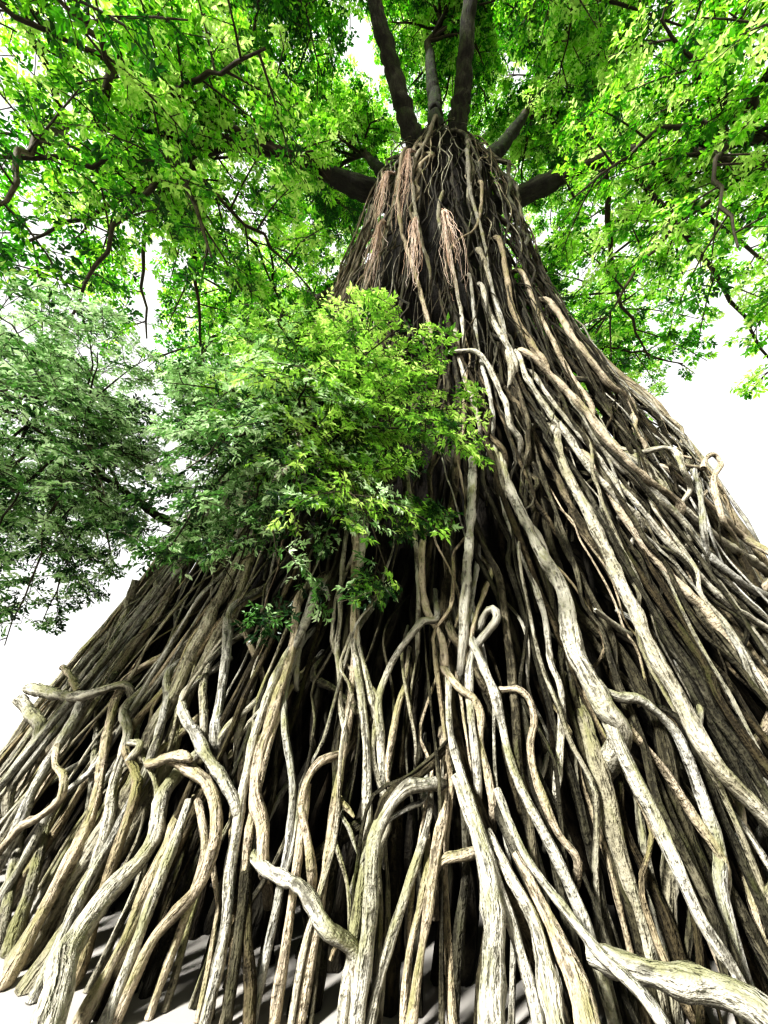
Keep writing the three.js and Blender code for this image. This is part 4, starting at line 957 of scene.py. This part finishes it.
def trunk_mesh():
    """The trunk's fluted core, with the ridges of old fused roots running down it."""
    sides, steps = 120, 90
    angle = np.linspace(0, 2 * np.pi, sides, endpoint=False)
    a, h = np.meshgrid(angle, np.linspace(0, FORK_HEIGHT, steps))
    azimuth = (np.degrees(a) + 180) % 360 - 180
    radius = trunk_radius(azimuth, h) * (1 + FLUTE_DEPTH * np.cos(FLUTE_COUNT * a))
    random = np.random.default_rng(11)
    for count in RIDGE_COUNTS:
        sway = 0.5 * np.sin(h * random.uniform(0.3, 0.7) + random.uniform(0, 6))
        ridge = np.abs(np.sin(count / 2 * a + sway + random.uniform(0, 6)))
        radius = radius * (1 + RIDGE_DEPTH / count * (ridge - 0.5))
    top = np.clip((h - FORK_HEIGHT + TOP_ROUNDING) / TOP_ROUNDING, 0, 1)
    radius = radius * np.sqrt(1 - TOP_LOSS * top**2)
    x, y = LEAN * h + radius * np.cos(a), radius * np.sin(a)
    points = np.stack([x, y, h], axis=-1).reshape(-1, 3).tolist()
    bottom, lid, last = len(points), len(points) + 1, (steps - 1) * sides
    i = np.arange(sides)
    turned = (i + 1) % sides
    faces = []
    for base in range(0, last, sides):
        above = base + sides
        faces += np.stack([base + i, base + turned, above + turned, above + i], axis=1).tolist()
    faces += [[bottom, (k + 1) % sides, k] for k in range(sides)]
    faces += [[lid, last + k, last + (k + 1) % sides] for k in range(sides)]
    mesh = bpy.data.meshes.new("trunk_bark")
    mesh.from_pydata([*points, [0, 0, 0], [LEAN * FORK_HEIGHT, 0, FORK_HEIGHT]], [], faces)
    # The trunk's near-black bark is painted shade
    mesh.materials.append(core_bark)
    mesh.shade_smooth()
    return mesh


add_piece("trunk_bark", trunk_mesh(), "trunk_bark", ["trunk"])

strands = strand_tree()


def strand_piece(name, lines, sides, relief, ridges, bark, slot="root_bark", nodes=()):
    """relief and ridges are each a depth, as a share of the girth, and a scale."""
    values = {
        "Sides": sides, "Relief": relief[0], "Relief Scale": relief[1], "Ridges": ridges[0],
        "Ridge Scale": ridges[1], "Bark": bark,
    }
    grown(name, lines.mesh(name), strands, values, slot, nodes)


# Roots by the side of the tree they are on
FRONT_SIDES = ("front", "right_front", "left_front")
SIDES = (*FRONT_SIDES, "right_back", "left_back")
SIDE_EDGES = ((-160, "left_front"), (-115, "front"), (-84, "right_front"), (-40, "right_back"))
BACK_EDGE = 70


def side_of(azimuth):
    azimuth = (azimuth + 180) % 360 - 180
    if azimuth < SIDE_EDGES[0][0] or azimuth >= BACK_EDGE:
        return "left_back"
    return [side for edge, side in SIDE_EDGES if azimuth >= edge][-1]


# Steps along a root near the ground and high up
NEAREST_STEPS = (0.035, 0.09)
NEAR_STEPS = (0.08, 0.17)
FAR_STEPS = (0.15, 0.24)
# The source's roots are grown as bundles of slimmer ones: count, share of the girth and how far apart
BUNDLED = {True: (2, 0.42, 0.8), False: (2, 0.55, 0.75)}
root_lines, near_lines, fine_lines, thin_lines, inner_lines = (
    {side: Lines() for side in SIDES} for _ in range(5)
)
root_nodes = {side: [] for side in SIDES}

# The source's roots
random = np.random.default_rng(21)
for name, bundle in bundles.items():
    side = side_of(bundle[0][0][-1][0])
    root_nodes[side].append(name)
    in_front = side in FRONT_SIDES
    count, share, apart = BUNDLED[in_front]
    for stations, (top, foot) in bundle:
        line = station_points(stations)
        outward, sideways = outward_from_trunk(line)
        widths = root_girth(top, foot, np.linspace(0, 1, len(line)))[:, None]
        turn = random.uniform(0, 2 * math.pi) + np.cumsum(random.uniform(0.2, 0.9, len(line)))
        for k in range(count):
            angle = (turn + 2 * math.pi * k / count)[:, None]
            shifted = line + apart * widths * (sideways * np.cos(angle) + outward * 0.5 * np.sin(angle))
            slim = share * random.uniform(0.5, 1.25)
            root_line(
                root_lines[side], random, shifted, flared(top * slim, foot * slim), random.uniform(0, 0.8),
                NEAR_STEPS if in_front else FAR_STEPS, kink=0.05,
            )

# The roots nearest the viewer
NEAR_GIRTH = 0.88
for table, ends_joined in ((NEAR_ROOTS, True), (CUT_ROOTS, False)):
    for start, end, tone, *stations in table:
        stations = [(azimuth, height / 100, out / 100) for azimuth, height, out in stations]
        side = side_of(stations[-1][0])
        root_line(
            near_lines[side if side in FRONT_SIDES else "right_front"], random,
            station_points(tucked(stations, last=ends_joined)),
            tapered(start / 1000 * NEAR_GIRTH, end / 1000 * NEAR_GIRTH), tone, NEAREST_STEPS, kink=0.012,
            bulge=0.2, rounded=not ends_joined,
        )


def more_roots(seed, sector, gap, tops, girths, lines, feet=None, layer=1, drift=(-7, 7), out=(-0.05, 0.12),
               tones=(0.1, 0.9), kink=0.06, steps=None):
    """More roots by the source's rule. feet are the heights where they end behind others, if they do."""
    random = np.random.default_rng(seed)
    for azimuth in np.arange(*sector, gap):
        foot = azimuth + random.uniform(-0.4, 0.4) * gap
        top_height = random.uniform(*tops)
        low = FOOT_DEPTH if feet is None else min(random.uniform(*feet), top_height - 1)
        top_azimuth = foot - random.uniform(*drift) * (top_height - low) / 8
        stand = random.uniform(*out)
        stations = []
        for share in np.linspace(0, 1, 7):
            height = lerp(top_height, low, share)
            along = lerp(top_azimuth, foot, smoothstep(share, 0, 0.9)) + random.normal() * 0.6
            behind = TUCK * (1 - smoothstep(share, 0, 0.12))
            if feet is not None:
                behind += TUCK * smoothstep(share, 0.88, 1)
            inward = (layer - 1) * cage_radius(along, height)
            stations.append([along, height, inward - behind + stand + random.normal() * 0.03])
        girth = math.exp(random.uniform(*np.log(girths)))
        side = side_of(foot)
        root_line(
            lines[side], random, station_points(stations), flared(girth * 0.7, girth),
            random.uniform(*tones), steps or (NEAR_STEPS if side in FRONT_SIDES else FAR_STEPS), kink=kink,
        )


FRONT = (-152, -30)
ROUND_THE_BACK = (-30, 208)
more_roots(31, FRONT, 1.8, (9, 15.2), (0.008, 0.032), fine_lines, feet=(2.2, 6), drift=(-13, 13), kink=0.1)
more_roots(32, FRONT, 1.5, (5, 11), (0.007, 0.018), fine_lines, feet=(1.6, 4.5), drift=(-12, 12), kink=0.09)
more_roots(33, (-86, -32), 3.0, (5, 9), (0.02, 0.05), root_lines, drift=(6, 14), out=(-0.05, 0.15),
           tones=(0, 0.8))
more_roots(34, (-168, -141), 2.2, (3, 10), (0.025, 0.055), root_lines)
more_roots(35, (-150, -60), 3.0, (1.5, 4), (0.008, 0.018), fine_lines, out=(0, 0.1))
more_roots(46, (-150, -42), 3.0, (2, 6.5), (0.011, 0.024), thin_lines, out=(0.03, 0.16), drift=(-12, 12),
           tones=(0.0, 0.8), kink=0.09)
more_roots(36, FRONT, 4.2, (3, 10), (0.03, 0.06), inner_lines, layer=0.9, steps=(0.12, 0.25))
more_roots(43, FRONT, 1.5, (1.2, 3), (0.03, 0.07), inner_lines, layer=0.92, steps=(0.14, 0.25))
more_roots(44, FRONT, 1.6, (1.2, 3), (0.04, 0.09), inner_lines, layer=0.8, steps=(0.14, 0.25))
more_roots(37, ROUND_THE_BACK, 3.4, (3, 12), (0.035, 0.085), root_lines)
more_roots(38, ROUND_THE_BACK, 3.6, (5, 14), (0.015, 0.035), fine_lines, feet=(0.8, 6))
more_roots(39, ROUND_THE_BACK, 5.0, (4, 12), (0.05, 0.09), inner_lines, layer=0.9, steps=(0.2, 0.3))
more_roots(45, ROUND_THE_BACK, 2.2, (1.2, 3), (0.05, 0.09), inner_lines, layer=0.85, steps=(0.2, 0.3))

# Short roots that cross from one to the next
CROSSING_SECTOR, CROSSING_GAP = (-148, 208), 4.2
CROSSING_HEIGHTS, CROSSING_TURNS, CROSSING_FALLS = (0.5, 7), (3, 8), (0.15, 0.9)
CROSSING_GIRTHS = (0.015, 0.04)
random = np.random.default_rng(40)
for azimuth in np.arange(*CROSSING_SECTOR, CROSSING_GAP):
    height = random.uniform(*CROSSING_HEIGHTS)
    turn = random.choice([-1, 1]) * random.uniform(*CROSSING_TURNS)
    fall = random.uniform(*CROSSING_FALLS)
    stations = [
        [azimuth + turn * t, height - fall * t**1.3, random.uniform(0.02, 0.14)] for t in (0, 0.35, 0.7, 1)
    ]
    girth = random.uniform(*CROSSING_GIRTHS)
    root_line(
        root_lines[side_of(azimuth)], random, station_points(tucked(stations)), tapered(girth, girth * 0.8),
        random.uniform(0.2, 1), (0.07, 0.14), kink=0.02,
    )

# Roots that climb the neck to where the boughs fork, every fifth one thick
NECK_COUNT, NECK_TOPS, NECK_FEET = 150, (15.2, 16.7), (7.5, 12.5)
NECK_THIN, NECK_THICK = (0.008, 0.022), (0.04, 0.08)
neck_lines = Lines()
random = np.random.default_rng(42)
for k in range(NECK_COUNT):
    azimuth = k * math.degrees(GOLDEN_ANGLE) % 360 - 180
    top_height = random.uniform(*NECK_TOPS)
    low = random.uniform(*NECK_FEET)
    swing = random.normal() * 12
    stations = []
    for share in np.linspace(0, 1, 8):
        height = lerp(top_height, low, share)
        along = azimuth + swing * share + random.normal() * 1.6
        on_trunk = trunk_radius(along, height) * 1.03 - cage_radius(along, height)
        stand = lerp(on_trunk, random.uniform(0, 0.14), float(smoothstep(share, 0.05, 0.45)))
        stations.append([along, height, stand - TUCK * float(smoothstep(share, 0.9, 1))])
    girth = random.uniform(*(NECK_THIN if k % 5 else NECK_THICK))
    root_line(
        neck_lines, random, station_points(stations), tapered(girth, girth * 0.7), random.uniform(0, 1),
        (0.1, 0.17), kink=0.13,
    )

for side in SIDES:
    second_bark = shaded_bark if side in ("front", "right_front") else root_bark
    sides = 8 if side in FRONT_SIDES else 6
    strand_piece(
        f"outer_roots_{side}", root_lines[side], sides, (0.55, 5.0), (0.3, 18.0), second_bark,
        nodes=root_nodes[side],
    )
    strand_piece(f"fine_roots_{side}", fine_lines[side], 5, (0.5, 5.0), (0.2, 18.0), second_bark)
    # The inner roots' near-black bark is painted shade
    strand_piece(f"inner_roots_{side}", inner_lines[side], 6, (0.3, 5.0), (0.1, 20.0), inner_bark)
for side in FRONT_SIDES:
    strand_piece(f"thin_roots_{side}", thin_lines[side], 5, (0.5, 5.0), (0.2, 18.0), root_bark)
    strand_piece(f"near_roots_{side}", near_lines[side], 12, (0.55, 6.0), (0.35, 18.0), root_bark)
strand_piece("neck_roots", neck_lines, 6, (0.5, 6.0), (0.3, 20.0), neck_bark)


# Boughs, as in the source: start on the trunk, tip, girths, and the mass of leaves each one carries.
# A tip or the middle of a mass is an azimuth, a distance from the trunk's line and a height.
BOUGHS = [
    ("limb_right", -15, 13.9, (-14, 3.3, 14.3), (0.34, 0.24), (-12, 8.2, 12.1), (5.8, 5.1, 5.0)),
    ("limb_back_right", 42, 13.6, (42, 4.1, 14.1), (0.33, 0.22), (42, 8.0, 13.5), (4.7, 4.8, 4.8)),
    ("limb_back", 94, 14.0, (94, 4.0, 14.6), (0.33, 0.22), (93, 7.8, 14.2), (4.5, 4.8, 4.6)),
    ("limb_back_left", 146, 13.6, (144, 4.1, 14.1), (0.33, 0.22), (142, 8.0, 13.5), (4.7, 4.8, 4.8)),
    ("limb_left", -164, 14.2, (-165, 3.3, 14.4), (0.34, 0.24), (-167, 8.3, 12.3), (5.9, 5.1, 5.0)),
    ("bough_front_left", -138, 15.3, (-132, 3.6, 19.6), (0.32, 0.19), (-150, 7.0, 20.4), (3.8, 4.3, 3.9)),
    ("bough_front_right", -66, 15.6, (-80, 2.6, 19.7), (0.31, 0.2), (-38, 6.0, 21.0), (3.9, 4.3, 3.9)),
    ("bough_right", 2, 15.9, (10, 3.1, 20.7), (0.29, 0.17), (16, 5.9, 22.9), (3.8, 4.2, 3.8)),
    ("bough_back", 76, 15.7, (79, 3.0, 20.5), (0.3, 0.17), (80, 5.7, 22.9), (3.7, 4.2, 3.8)),
    ("bough_left", 150, 15.9, (146, 3.2, 20.6), (0.3, 0.17), (144, 5.9, 22.9), (3.8, 4.2, 3.8)),
    ("leader", 20, 16.5, (170, 0.6, 24.6), (0.3, 0.18), (20, 0.5, 27.7), (4.2, 4.2, 3.5)),
]
BOUGH_SAG = 0.06
BOUGH_ROOTING, BOUGH_DROP = 0.55, 0.15  # how far into the trunk a bough starts, and how far below its place
SHOOTS = [
    ("shoot_front", "roots_left_foot", 3.3, (-113, 4.3, 3.45), (-111, 4.75, 3.25), (0.95, 1.8, 1.65)),
    ("shoot_left", "roots_far_left", 3.0, (-138, 5.0, 3.3), (-138, 5.9, 3.35), (1.2, 1.9, 1.9)),
]
SHOOT_GIRTH = (0.06, 0.04)
SHOOT_RISE = 0.12


def bough_points(name, azimuth, start, tip):
    offset = 0 if name == "leader" else trunk_radius(azimuth, start) * BOUGH_ROOTING
    inside, end = around(azimuth, offset, start - BOUGH_DROP), around(*tip)
    middle = lerp(inside, end, 0.5) - UP * (tip[2] - start) * BOUGH_SAG
    return np.array([inside, middle, end])


def shoot_points(root, height, tip):
    there, _, out = station_at(bundles[root][0][0], height)
    bend = lerp(float(cage_radius(tip[0], height)), tip[1], 0.6)
    on_root = station_points([[there, height, out]])[0]
    return np.array([on_root, around((tip[0] + there) / 2, bend, height + SHOOT_RISE), around(*tip)])


class Mass:
    """One mass of leaves and the limb that carries it."""

    def __init__(self, name, points, girth, centre, radii, low):
        self.name, self.points, self.girth, self.low = name, points, girth, low
        self.radii = np.array(radii)
        self.middle = around(*centre)
        cos, sin = math.cos(math.radians(centre[0])), math.sin(math.radians(centre[0]))
        self.axes = np.array([[cos, sin, 0], [-sin, cos, 0], [0, 0, 1]])

    def depth(self, points):
        """Distance from the mass's middle, where 1 is its surface."""
        return np.linalg.norm((points - self.middle) @ self.axes.T / self.radii, axis=-1)

    def place(self, direction, share=1.0):
        return self.middle + (np.asarray(direction) * self.radii * share) @ self.axes


masses = [
    Mass(name, bough_points(name, azimuth, start, tip), girth, centre, radii, False)
    for name, azimuth, start, tip, girth, centre, radii in BOUGHS
] + [
    Mass(name, shoot_points(root, height, tip), SHOOT_GIRTH, centre, radii, True)
    for name, root, height, tip, centre, radii in SHOOTS
]
low_corner, high_corner = (np.array(corner) for corner in cad_box)
ROOM = 0.12
LOWEST_LEAF = 0.3


def in_room(points):
    """True for points inside the tree's outer box, with a hand's breadth to spare."""
    return np.all((points > low_corner - ROOM) & (points < high_corner + ROOM), axis=-1)


def within_room(start, end):
    while not in_room(end):
        end = lerp(start, end, 0.95)
    return end


def is_free(mass, points, margin):
    """True for points in the mass's own space and the tree's, and clear of the cage below the fork."""
    own = mass.depth(points)
    free = (own < 1) & in_room(points)
    for other in masses:
        if other is not mass:
            free &= other.depth(points) > own + margin
    x, y, z = points[..., 0] - LEAN * points[..., 2], points[..., 1], points[..., 2]
    cage = cage_radius(np.degrees(np.arctan2(y, x)), z)
    free &= (np.hypot(x, y) > cage + ROOM) | (z > FORK_HEIGHT)
    return free & (z > LOWEST_LEAF)


def spread_direction(index, count, turn):
    z = 1 - 2 * (index + 0.5) / count
    flat = math.sqrt(1 - z * z)
    angle = index * GOLDEN_ANGLE + turn
    return np.array([flat * math.cos(angle), flat * math.sin(angle), z])


# A leaf of one unit, folded along the midrib, with the tip bent down
leaf_mesh = bpy.data.meshes.new("leaf_model")
leaf_mesh.from_pydata(
    [(0, 0, 0), (0.42, -0.5, 0.1), (1, 0, -0.12), (0.42, 0.5, 0.1)], [], [(0, 1, 2), (0, 2, 3)]
)
leaf_model = placed("leaf_model", leaf_mesh)
crown_leaves, shoot_leaves = leaf_tree(len(crown_tints)), leaf_tree(len(shoot_tints))


def patches(points, size, seed):
    """A value about -1 to 1 that changes slowly from place to place."""
    random = np.random.default_rng(seed)
    waves = random.normal(size=(3, 7)) * 2 * np.pi / size / 1.7
    return np.sin(points @ waves + random.uniform(0, 6, 7)).sum(axis=-1) / 2.6


def alternating(numbers):
    return np.where(numbers % 2, 1.0, -1.0)


# Girths at both ends, as shares of the stem's
STEM_GIRTHS, BRANCH_GIRTHS, SIDE_GIRTHS, SPRAY_GIRTHS = (1, 0.25), (0.42, 0.1), (0.12, 0.05), (0.05, 0.025)
THINNEST = 0.003
# The stretches of a stem that carry branches, and of a branch or twig that carry finer ones
BRANCHED, TWIGGED = (0.25, 0.97), (0.12, 1.0)
# How far points are shaken: the first two as shares of the mass's size, and a limb's of its girth
STEM_JITTER, BRANCH_JITTER, LIMB_JITTER = 0.003, 0.012, 0.1
# Where a stem bends and ends, and how far branches and side twigs bow up
STEM_BEND, STEM_END, BRANCH_BOW, TWIG_BOW = 0.35, (0.3, 0, 0.3), 0.1, 0.08
# How far sprays may reach into a neighbouring mass, as a share of its size
OVERLAP = 0.03
# The range of a spray's or a leaf's size, as shares of the usual one
SIZES = (0.7, 1.25)


def jittered(line, amount, random):
    """The line with its inner points shaken, and each point's share of the way along it."""
    share = np.linspace(0, 1, len(line))
    return line + amount * random.normal(size=line.shape) * np.sin(np.pi * share)[:, None], share


def thinning(girth, shares, along):
    return lerp(girth * shares[0], girth * shares[1], along)


def grow_twigs(mass, habit, random, girth, twigs):
    """Adds the twigs of one mass, by the source's rule carried to finer ones. Gives the places where
    sprays leave them, and their headings."""
    tip, mean, step = mass.points[-1], float(mass.radii.mean()), habit["twig_step"]
    limb, _ = smooth_line(mass.points)
    ahead = unit(limb[-1] - limb[-2])
    bend = tip + ahead * np.linalg.norm(mass.middle - tip) * STEM_BEND
    stem = even_line([tip - ahead * girth * 0.3, bend, mass.place(STEM_END)], step)
    stem, share = jittered(stem, STEM_JITTER * mean, random)
    twigs.add(stem, thinning(girth, STEM_GIRTHS, share), 0.3)
    turn = random.uniform(0, 2 * math.pi)
    origins, headings = [], []
    for k in range(habit["branches"]):
        direction = spread_direction(k, habit["branches"], turn)
        start = stem[int(lerp(*BRANCHED, (k * GOLDEN_SHARE) % 1) * (len(stem) - 1))]
        end = within_room(start, mass.place(direction, habit["reach"]))
        bow = lerp(start, end, 0.5) + UP * BRANCH_BOW * mean + random.normal(size=3) * 0.05 * mean
        branch, share = jittered(even_line([start, bow, end], step), BRANCH_JITTER * mean, random)
        twigs.add(branch, thinning(girth, BRANCH_GIRTHS, share), random.uniform(0, 0.8))
        along = unit(end - start)
        for j in range(habit["side_twigs"]):
            at = min(lerp(*TWIGGED, (j + random.uniform(0, 0.9)) / habit["side_twigs"]), 1)
            root = at_lengths(branch, share, [at])[0]
            side = unit(np.cross(along, UP) * alternating(j) + random.normal(size=3) * 0.35)
            heading = unit(along * 0.55 + side * 0.8 + UP * random.uniform(-0.15, 0.3))
            reach = habit["side_reach"] * mean * random.uniform(0.7, 1.2)
            far = root + heading * reach
            while (mass.depth(far) > 0.97 or not in_room(far)) and reach > 0.1:
                reach *= 0.8
                far = root + heading * reach
            if not is_free(mass, far[None], 0.0)[0]:
                continue
            bow = lerp(root, far, 0.5) + UP * reach * TWIG_BOW
            side_twig = even_line([root, bow, far], reach / 3.01)
            at = np.linspace(0, 1, len(side_twig))
            twigs.add(side_twig, thinning(girth, SIDE_GIRTHS, at), 0.5)
            count = habit["sprays"]
            where = lerp(*TWIGGED, (np.arange(count) + random.uniform(0, 1, count)) / count)
            origins.append(at_lengths(side_twig, at, np.minimum(where, 1)))
            across = unit(np.cross(heading, UP)) * alternating(np.arange(count))[:, None]
            headings.append(unit(heading * 0.7 + across * 0.8 + random.normal(size=(count, 3)) * 0.35))
    origins, headings = np.vstack(origins), np.vstack(headings)
    return origins, unit(headings * [1, 1, habit["flatness"]] + UP * -habit["droop"])


def grow(mass, index, habit, twigs, fine_twigs):
    """Adds the twigs and the finer twigs of one mass, and gives the points of its leaves."""
    random = np.random.default_rng(500 + index)
    girth = mass.girth[1] * 0.95
    origins, headings = grow_twigs(mass, habit, random, girth, twigs)
    spray_length = habit["spray_length"] * random.uniform(*SIZES, len(origins))
    ends = origins + headings * spray_length[:, None]
    kept = is_free(mass, ends, -OVERLAP) & is_free(mass, origins, -OVERLAP)
    origins, headings, spray_length, ends = (v[kept] for v in (origins, headings, spray_length, ends))
    for a, b in zip(origins, ends):
        fine_twigs.add(np.array([a, b]), (girth * np.array(SPRAY_GIRTHS)).clip(THINNEST), 0.6)

    count, per, forks = len(origins), habit["leaves"], habit["forks"]

    def shaken(values, rows, amount, pick=slice(None)):
        return values + random.normal(size=(count, rows, 3))[:, pick] * amount

    up_in_mass = (origins[:, 2] - mass.middle[2]) / mass.radii[2]
    light = patches(origins, habit["patch"], 70 + index) * 0.8 + random.normal(size=count) * 0.4
    light = light + up_in_mass * habit["light_above"] + habit["bright"]
    light = light + habit["bright_right"] * np.clip(origins[:, 0] / 10, 0, 1)
    faces = UP + random.normal(size=(count, 3)) * 0.3 + unit(origins - mass.middle) * habit["face_out"]
    faces = unit(faces)
    sides = unit(np.cross(faces, headings))
    # Each spray forks into side shoots, with the leaves along both edges of every one
    j = np.arange(per)
    shoot, on_shoot = j % forks, (j // forks + 0.5) / (per / forks)
    along = (0.1 + 0.8 * shoot / forks)[None, :, None]
    hands = np.where(shoot == forks - 1, 0.0, alternating(shoot))[None, :, None]
    shoot_heading = headings[:, None] * 0.75 + sides[:, None] * hands
    shoot_heading = unit(shaken(shoot_heading, forks, 0.25, shoot))
    light = light[:, None] + random.normal(size=(count, forks))[:, shoot] * 0.8
    tints = np.clip(np.round(light), 0, 3).astype(int)
    if mass.low:
        toward_grey = (GREY_LEFT_OF - origins[:, 0]) + 0.6 * (mass.middle[2] - origins[:, 2])
        tints = tints + np.where(toward_grey + random.normal(size=count) * 0.4 > 0, 4, 0)[:, None]
    lengths = spray_length[:, None, None]
    reach = lengths * habit["fork_reach"] * (1.15 - along)
    roots = origins[:, None] + headings[:, None] * lengths * along
    roots = roots + shoot_heading * reach * on_shoot[None, :, None]
    edge = np.cross(faces[:, None], shoot_heading) * alternating(j // forks)[None, :, None]
    leaf_heading = unit(shaken(shoot_heading * 0.7 + edge * 0.8, per, 0.3) - UP * 0.12)
    leaf_face = unit(shaken(faces[:, None], per, 0.35))
    sizes = random.uniform(*SIZES, (count, per))
    points = bpy.data.meshes.new("leaf_points")
    points.from_pydata(roots.reshape(-1, 3).tolist(), [], [])
    for label, data_type, key, values in (
        ("heading", ARROW, "vector", leaf_heading), ("face", ARROW, "vector", leaf_face),
        ("size", "FLOAT", "value", sizes), ("tint", "INT", "value", tints),
    ):
        points.attributes.new(label, data_type, "POINT").data.foreach_set(key, values.reshape(-1))
    return points


GREY_LEFT_OF = -1.2  # left of here the low shoots turn from lime to grey-green
CROWN = dict(
    branches=22, reach=0.88, side_twigs=9, side_reach=0.38, sprays=6, leaves=35, forks=7, fork_reach=0.5,
    spray_length=0.62, twig_step=0.5, flatness=0.55, droop=0.12, bright=1.45, face_out=0.3, patch=2.2,
    bright_right=0.35, light_above=0.4, leaf=(0.15, 0.075),
)
SHOOT = dict(
    branches=26, reach=0.92, side_twigs=10, side_reach=0.4, sprays=7, leaves=35, forks=5, fork_reach=0.5,
    spray_length=0.26, twig_step=0.2, flatness=0.8, droop=0.05, bright=1.7, face_out=0.7, patch=0.7,
    bright_right=0.0, light_above=1.0, leaf=(0.052, 0.022),
)

bough_lines, twig_lines, spray_lines = Lines(), Lines(), Lines()
random = np.random.default_rng(41)
for index, mass in enumerate(masses):
    limb = even_line(mass.points, 0.06 if mass.low else 0.16)
    limb, share = jittered(limb, LIMB_JITTER * mass.girth[0], random)
    widths = lerp(*mass.girth, share) * knobbly(random, len(limb), 0.05, 0.12)
    bough_lines.add(limb, widths, random.uniform(0, 1))
    habit, slot, tree, tints = (
        (SHOOT, "shoot_leaf", shoot_leaves, shoot_tints) if mass.low
        else (CROWN, "crown_leaf", crown_leaves, crown_tints)
    )
    points = grow(mass, index, habit, twig_lines, spray_lines)
    values = {"Leaf": leaf_model, "Length": habit["leaf"][0], "Width": habit["leaf"][1]}
    values.update({f"Tint {k + 1}": tint for k, tint in enumerate(tints)})
    grown(f"foliage_{mass.name}", points, tree, values, slot, [f"leaves_{mass.name}"])

limbs = [mass.name for mass in masses]
strand_piece("boughs_bark", bough_lines, 16, (0.24, 2.5), (0.16, 9.0), bough_bark, "bough_bark", limbs)
strand_piece("branches", twig_lines, 4, (0.2, 4.0), (0.1, 20.0), twig_bark, "bough_bark")
strand_piece("spray_twigs", spray_lines, 3, (0.0, 4.0), (0.0, 20.0), twig_bark, "bough_bark")
bpy.data.objects.remove(leaf_model)

# Tassels of fine roots, from and to a station, as in the source
TASSELS = [
    ("roots_left_foot", (-126, 12.4, 0.33), (-122, 9.6, 0.33), 0.17),
    ("roots_left_foot", (-119.5, 9.9, 0.33), (-117, 7.2, 0.33), 0.18),
    ("roots_front_left", (-113.5, 12.9, 0.34), (-108.5, 8.9, 0.36), 0.21),
    ("roots_front_left", (-104.5, 9.4, 0.34), (-102.5, 6.6, 0.33), 0.15),
    ("roots_front", (-94, 9.6, 0.33), (-90, 6.5, 0.33), 0.18),
]
FIBRE_COUNT, FIBRE_GIRTHS = 34, (0.007, 0.0025)


def tassel_points(root, start, end):
    stations = [station_at(bundles[root][0][0], start[1] + 0.15)]
    for share in (0, 0.12, 0.35, 0.7, 1):
        azimuth, height, out = (lerp(a, b, share) for a, b in zip(start, end))
        stations.append([azimuth, height, out * min(1, 0.7 + share * 2.5)])
    return station_points(stations)


tassel_lines = Lines()
random = np.random.default_rng(51)
for root, start, end, girth in TASSELS:
    middle = even_line(tassel_points(root, start, end), 0.12)
    for fibre in range(FIBRE_COUNT):
        stop = random.uniform(0.25, 1) ** 0.6
        n = int(len(middle) * stop)
        share = np.linspace(0, stop, n)
        spread = 0.02 + 0.85 * girth * smoothstep(share, 0, 0.7)
        angle = random.uniform(0, 2 * math.pi)
        off = math.sqrt(random.uniform(0, 1)) + 0.4 * wander(random, n, 5)
        ring = np.array([math.cos(angle), math.sin(angle), 0])
        path = middle[:n] + ring * (spread * off)[:, None] + random.normal(size=(n, 3)) * 0.005
        tassel_lines.add(path, lerp(*FIBRE_GIRTHS, share / stop), random.uniform(0, 1))
strand_piece("tassels", tassel_lines, 3, (0.0, 4.0), (0.0, 20.0), fibre_bark, "hanging_root",
             [f"hanging_roots_{i + 1}" for i in range(len(TASSELS))])

# Floor and light
FLOOR_REACH, FLOOR_LEVEL = 200, -0.004
floor_mesh = bpy.data.meshes.new("floor")
corners = [(FLOOR_REACH * x, FLOOR_REACH * y, FLOOR_LEVEL) for x, y in ((-1, -1), (1, -1), (1, 1), (-1, 1))]
floor_mesh.from_pydata(corners, [], [(0, 1, 2, 3)])
floor = placed("floor", floor_mesh)
floor_material, _, floor_shader = new_material("floor")
floor_shader["Base Color"].default_value = (0.5, 0.47, 0.42, 1)
floor_shader["Roughness"].default_value = 0.9
floor_mesh.materials.append(floor_material)

# A white backdrop, with a gentler light from all round
world = bpy.data.worlds.new("soft_light")
world.use_nodes = True
sky, fill = Nodes(world.node_tree), world.node_tree.nodes["Background"]
fill.inputs["Color"].default_value = (0.93, 0.97, 1.0, 1)
fill.inputs["Strength"].default_value = 0.2
backdrop = sky.add("ShaderNodeBackground", {"Color": (1, 1, 1, 1), "Strength": 1.0})
seen = sky.add("ShaderNodeLightPath", output="Is Camera Ray")
both = sky.add("ShaderNodeMixShader", {0: seen, 1: fill.outputs[0], 2: backdrop})
sky.feed(both, world.node_tree.nodes["World Output"].inputs["Surface"])
bpy.context.scene.world = world


def soft_sun(name, energy, spread, tilt, turn):
    """A wide, soft sun that shines down at tilt degrees from straight down, from the side of turn."""
    data = bpy.data.lights.new(name, "SUN")
    data.energy, data.angle = energy, math.radians(spread)
    placed(name, data).rotation_euler = (math.radians(tilt), 0, math.radians(turn))


soft_sun("front_sun", 7.2, 9, 50, -50)
soft_sun("crown_sun", 7.0, 30, 24, 150)
bpy.context.scene.view_settings.view_transform = "Standard"
bpy.context.scene.view_settings.look = "High Contrast"
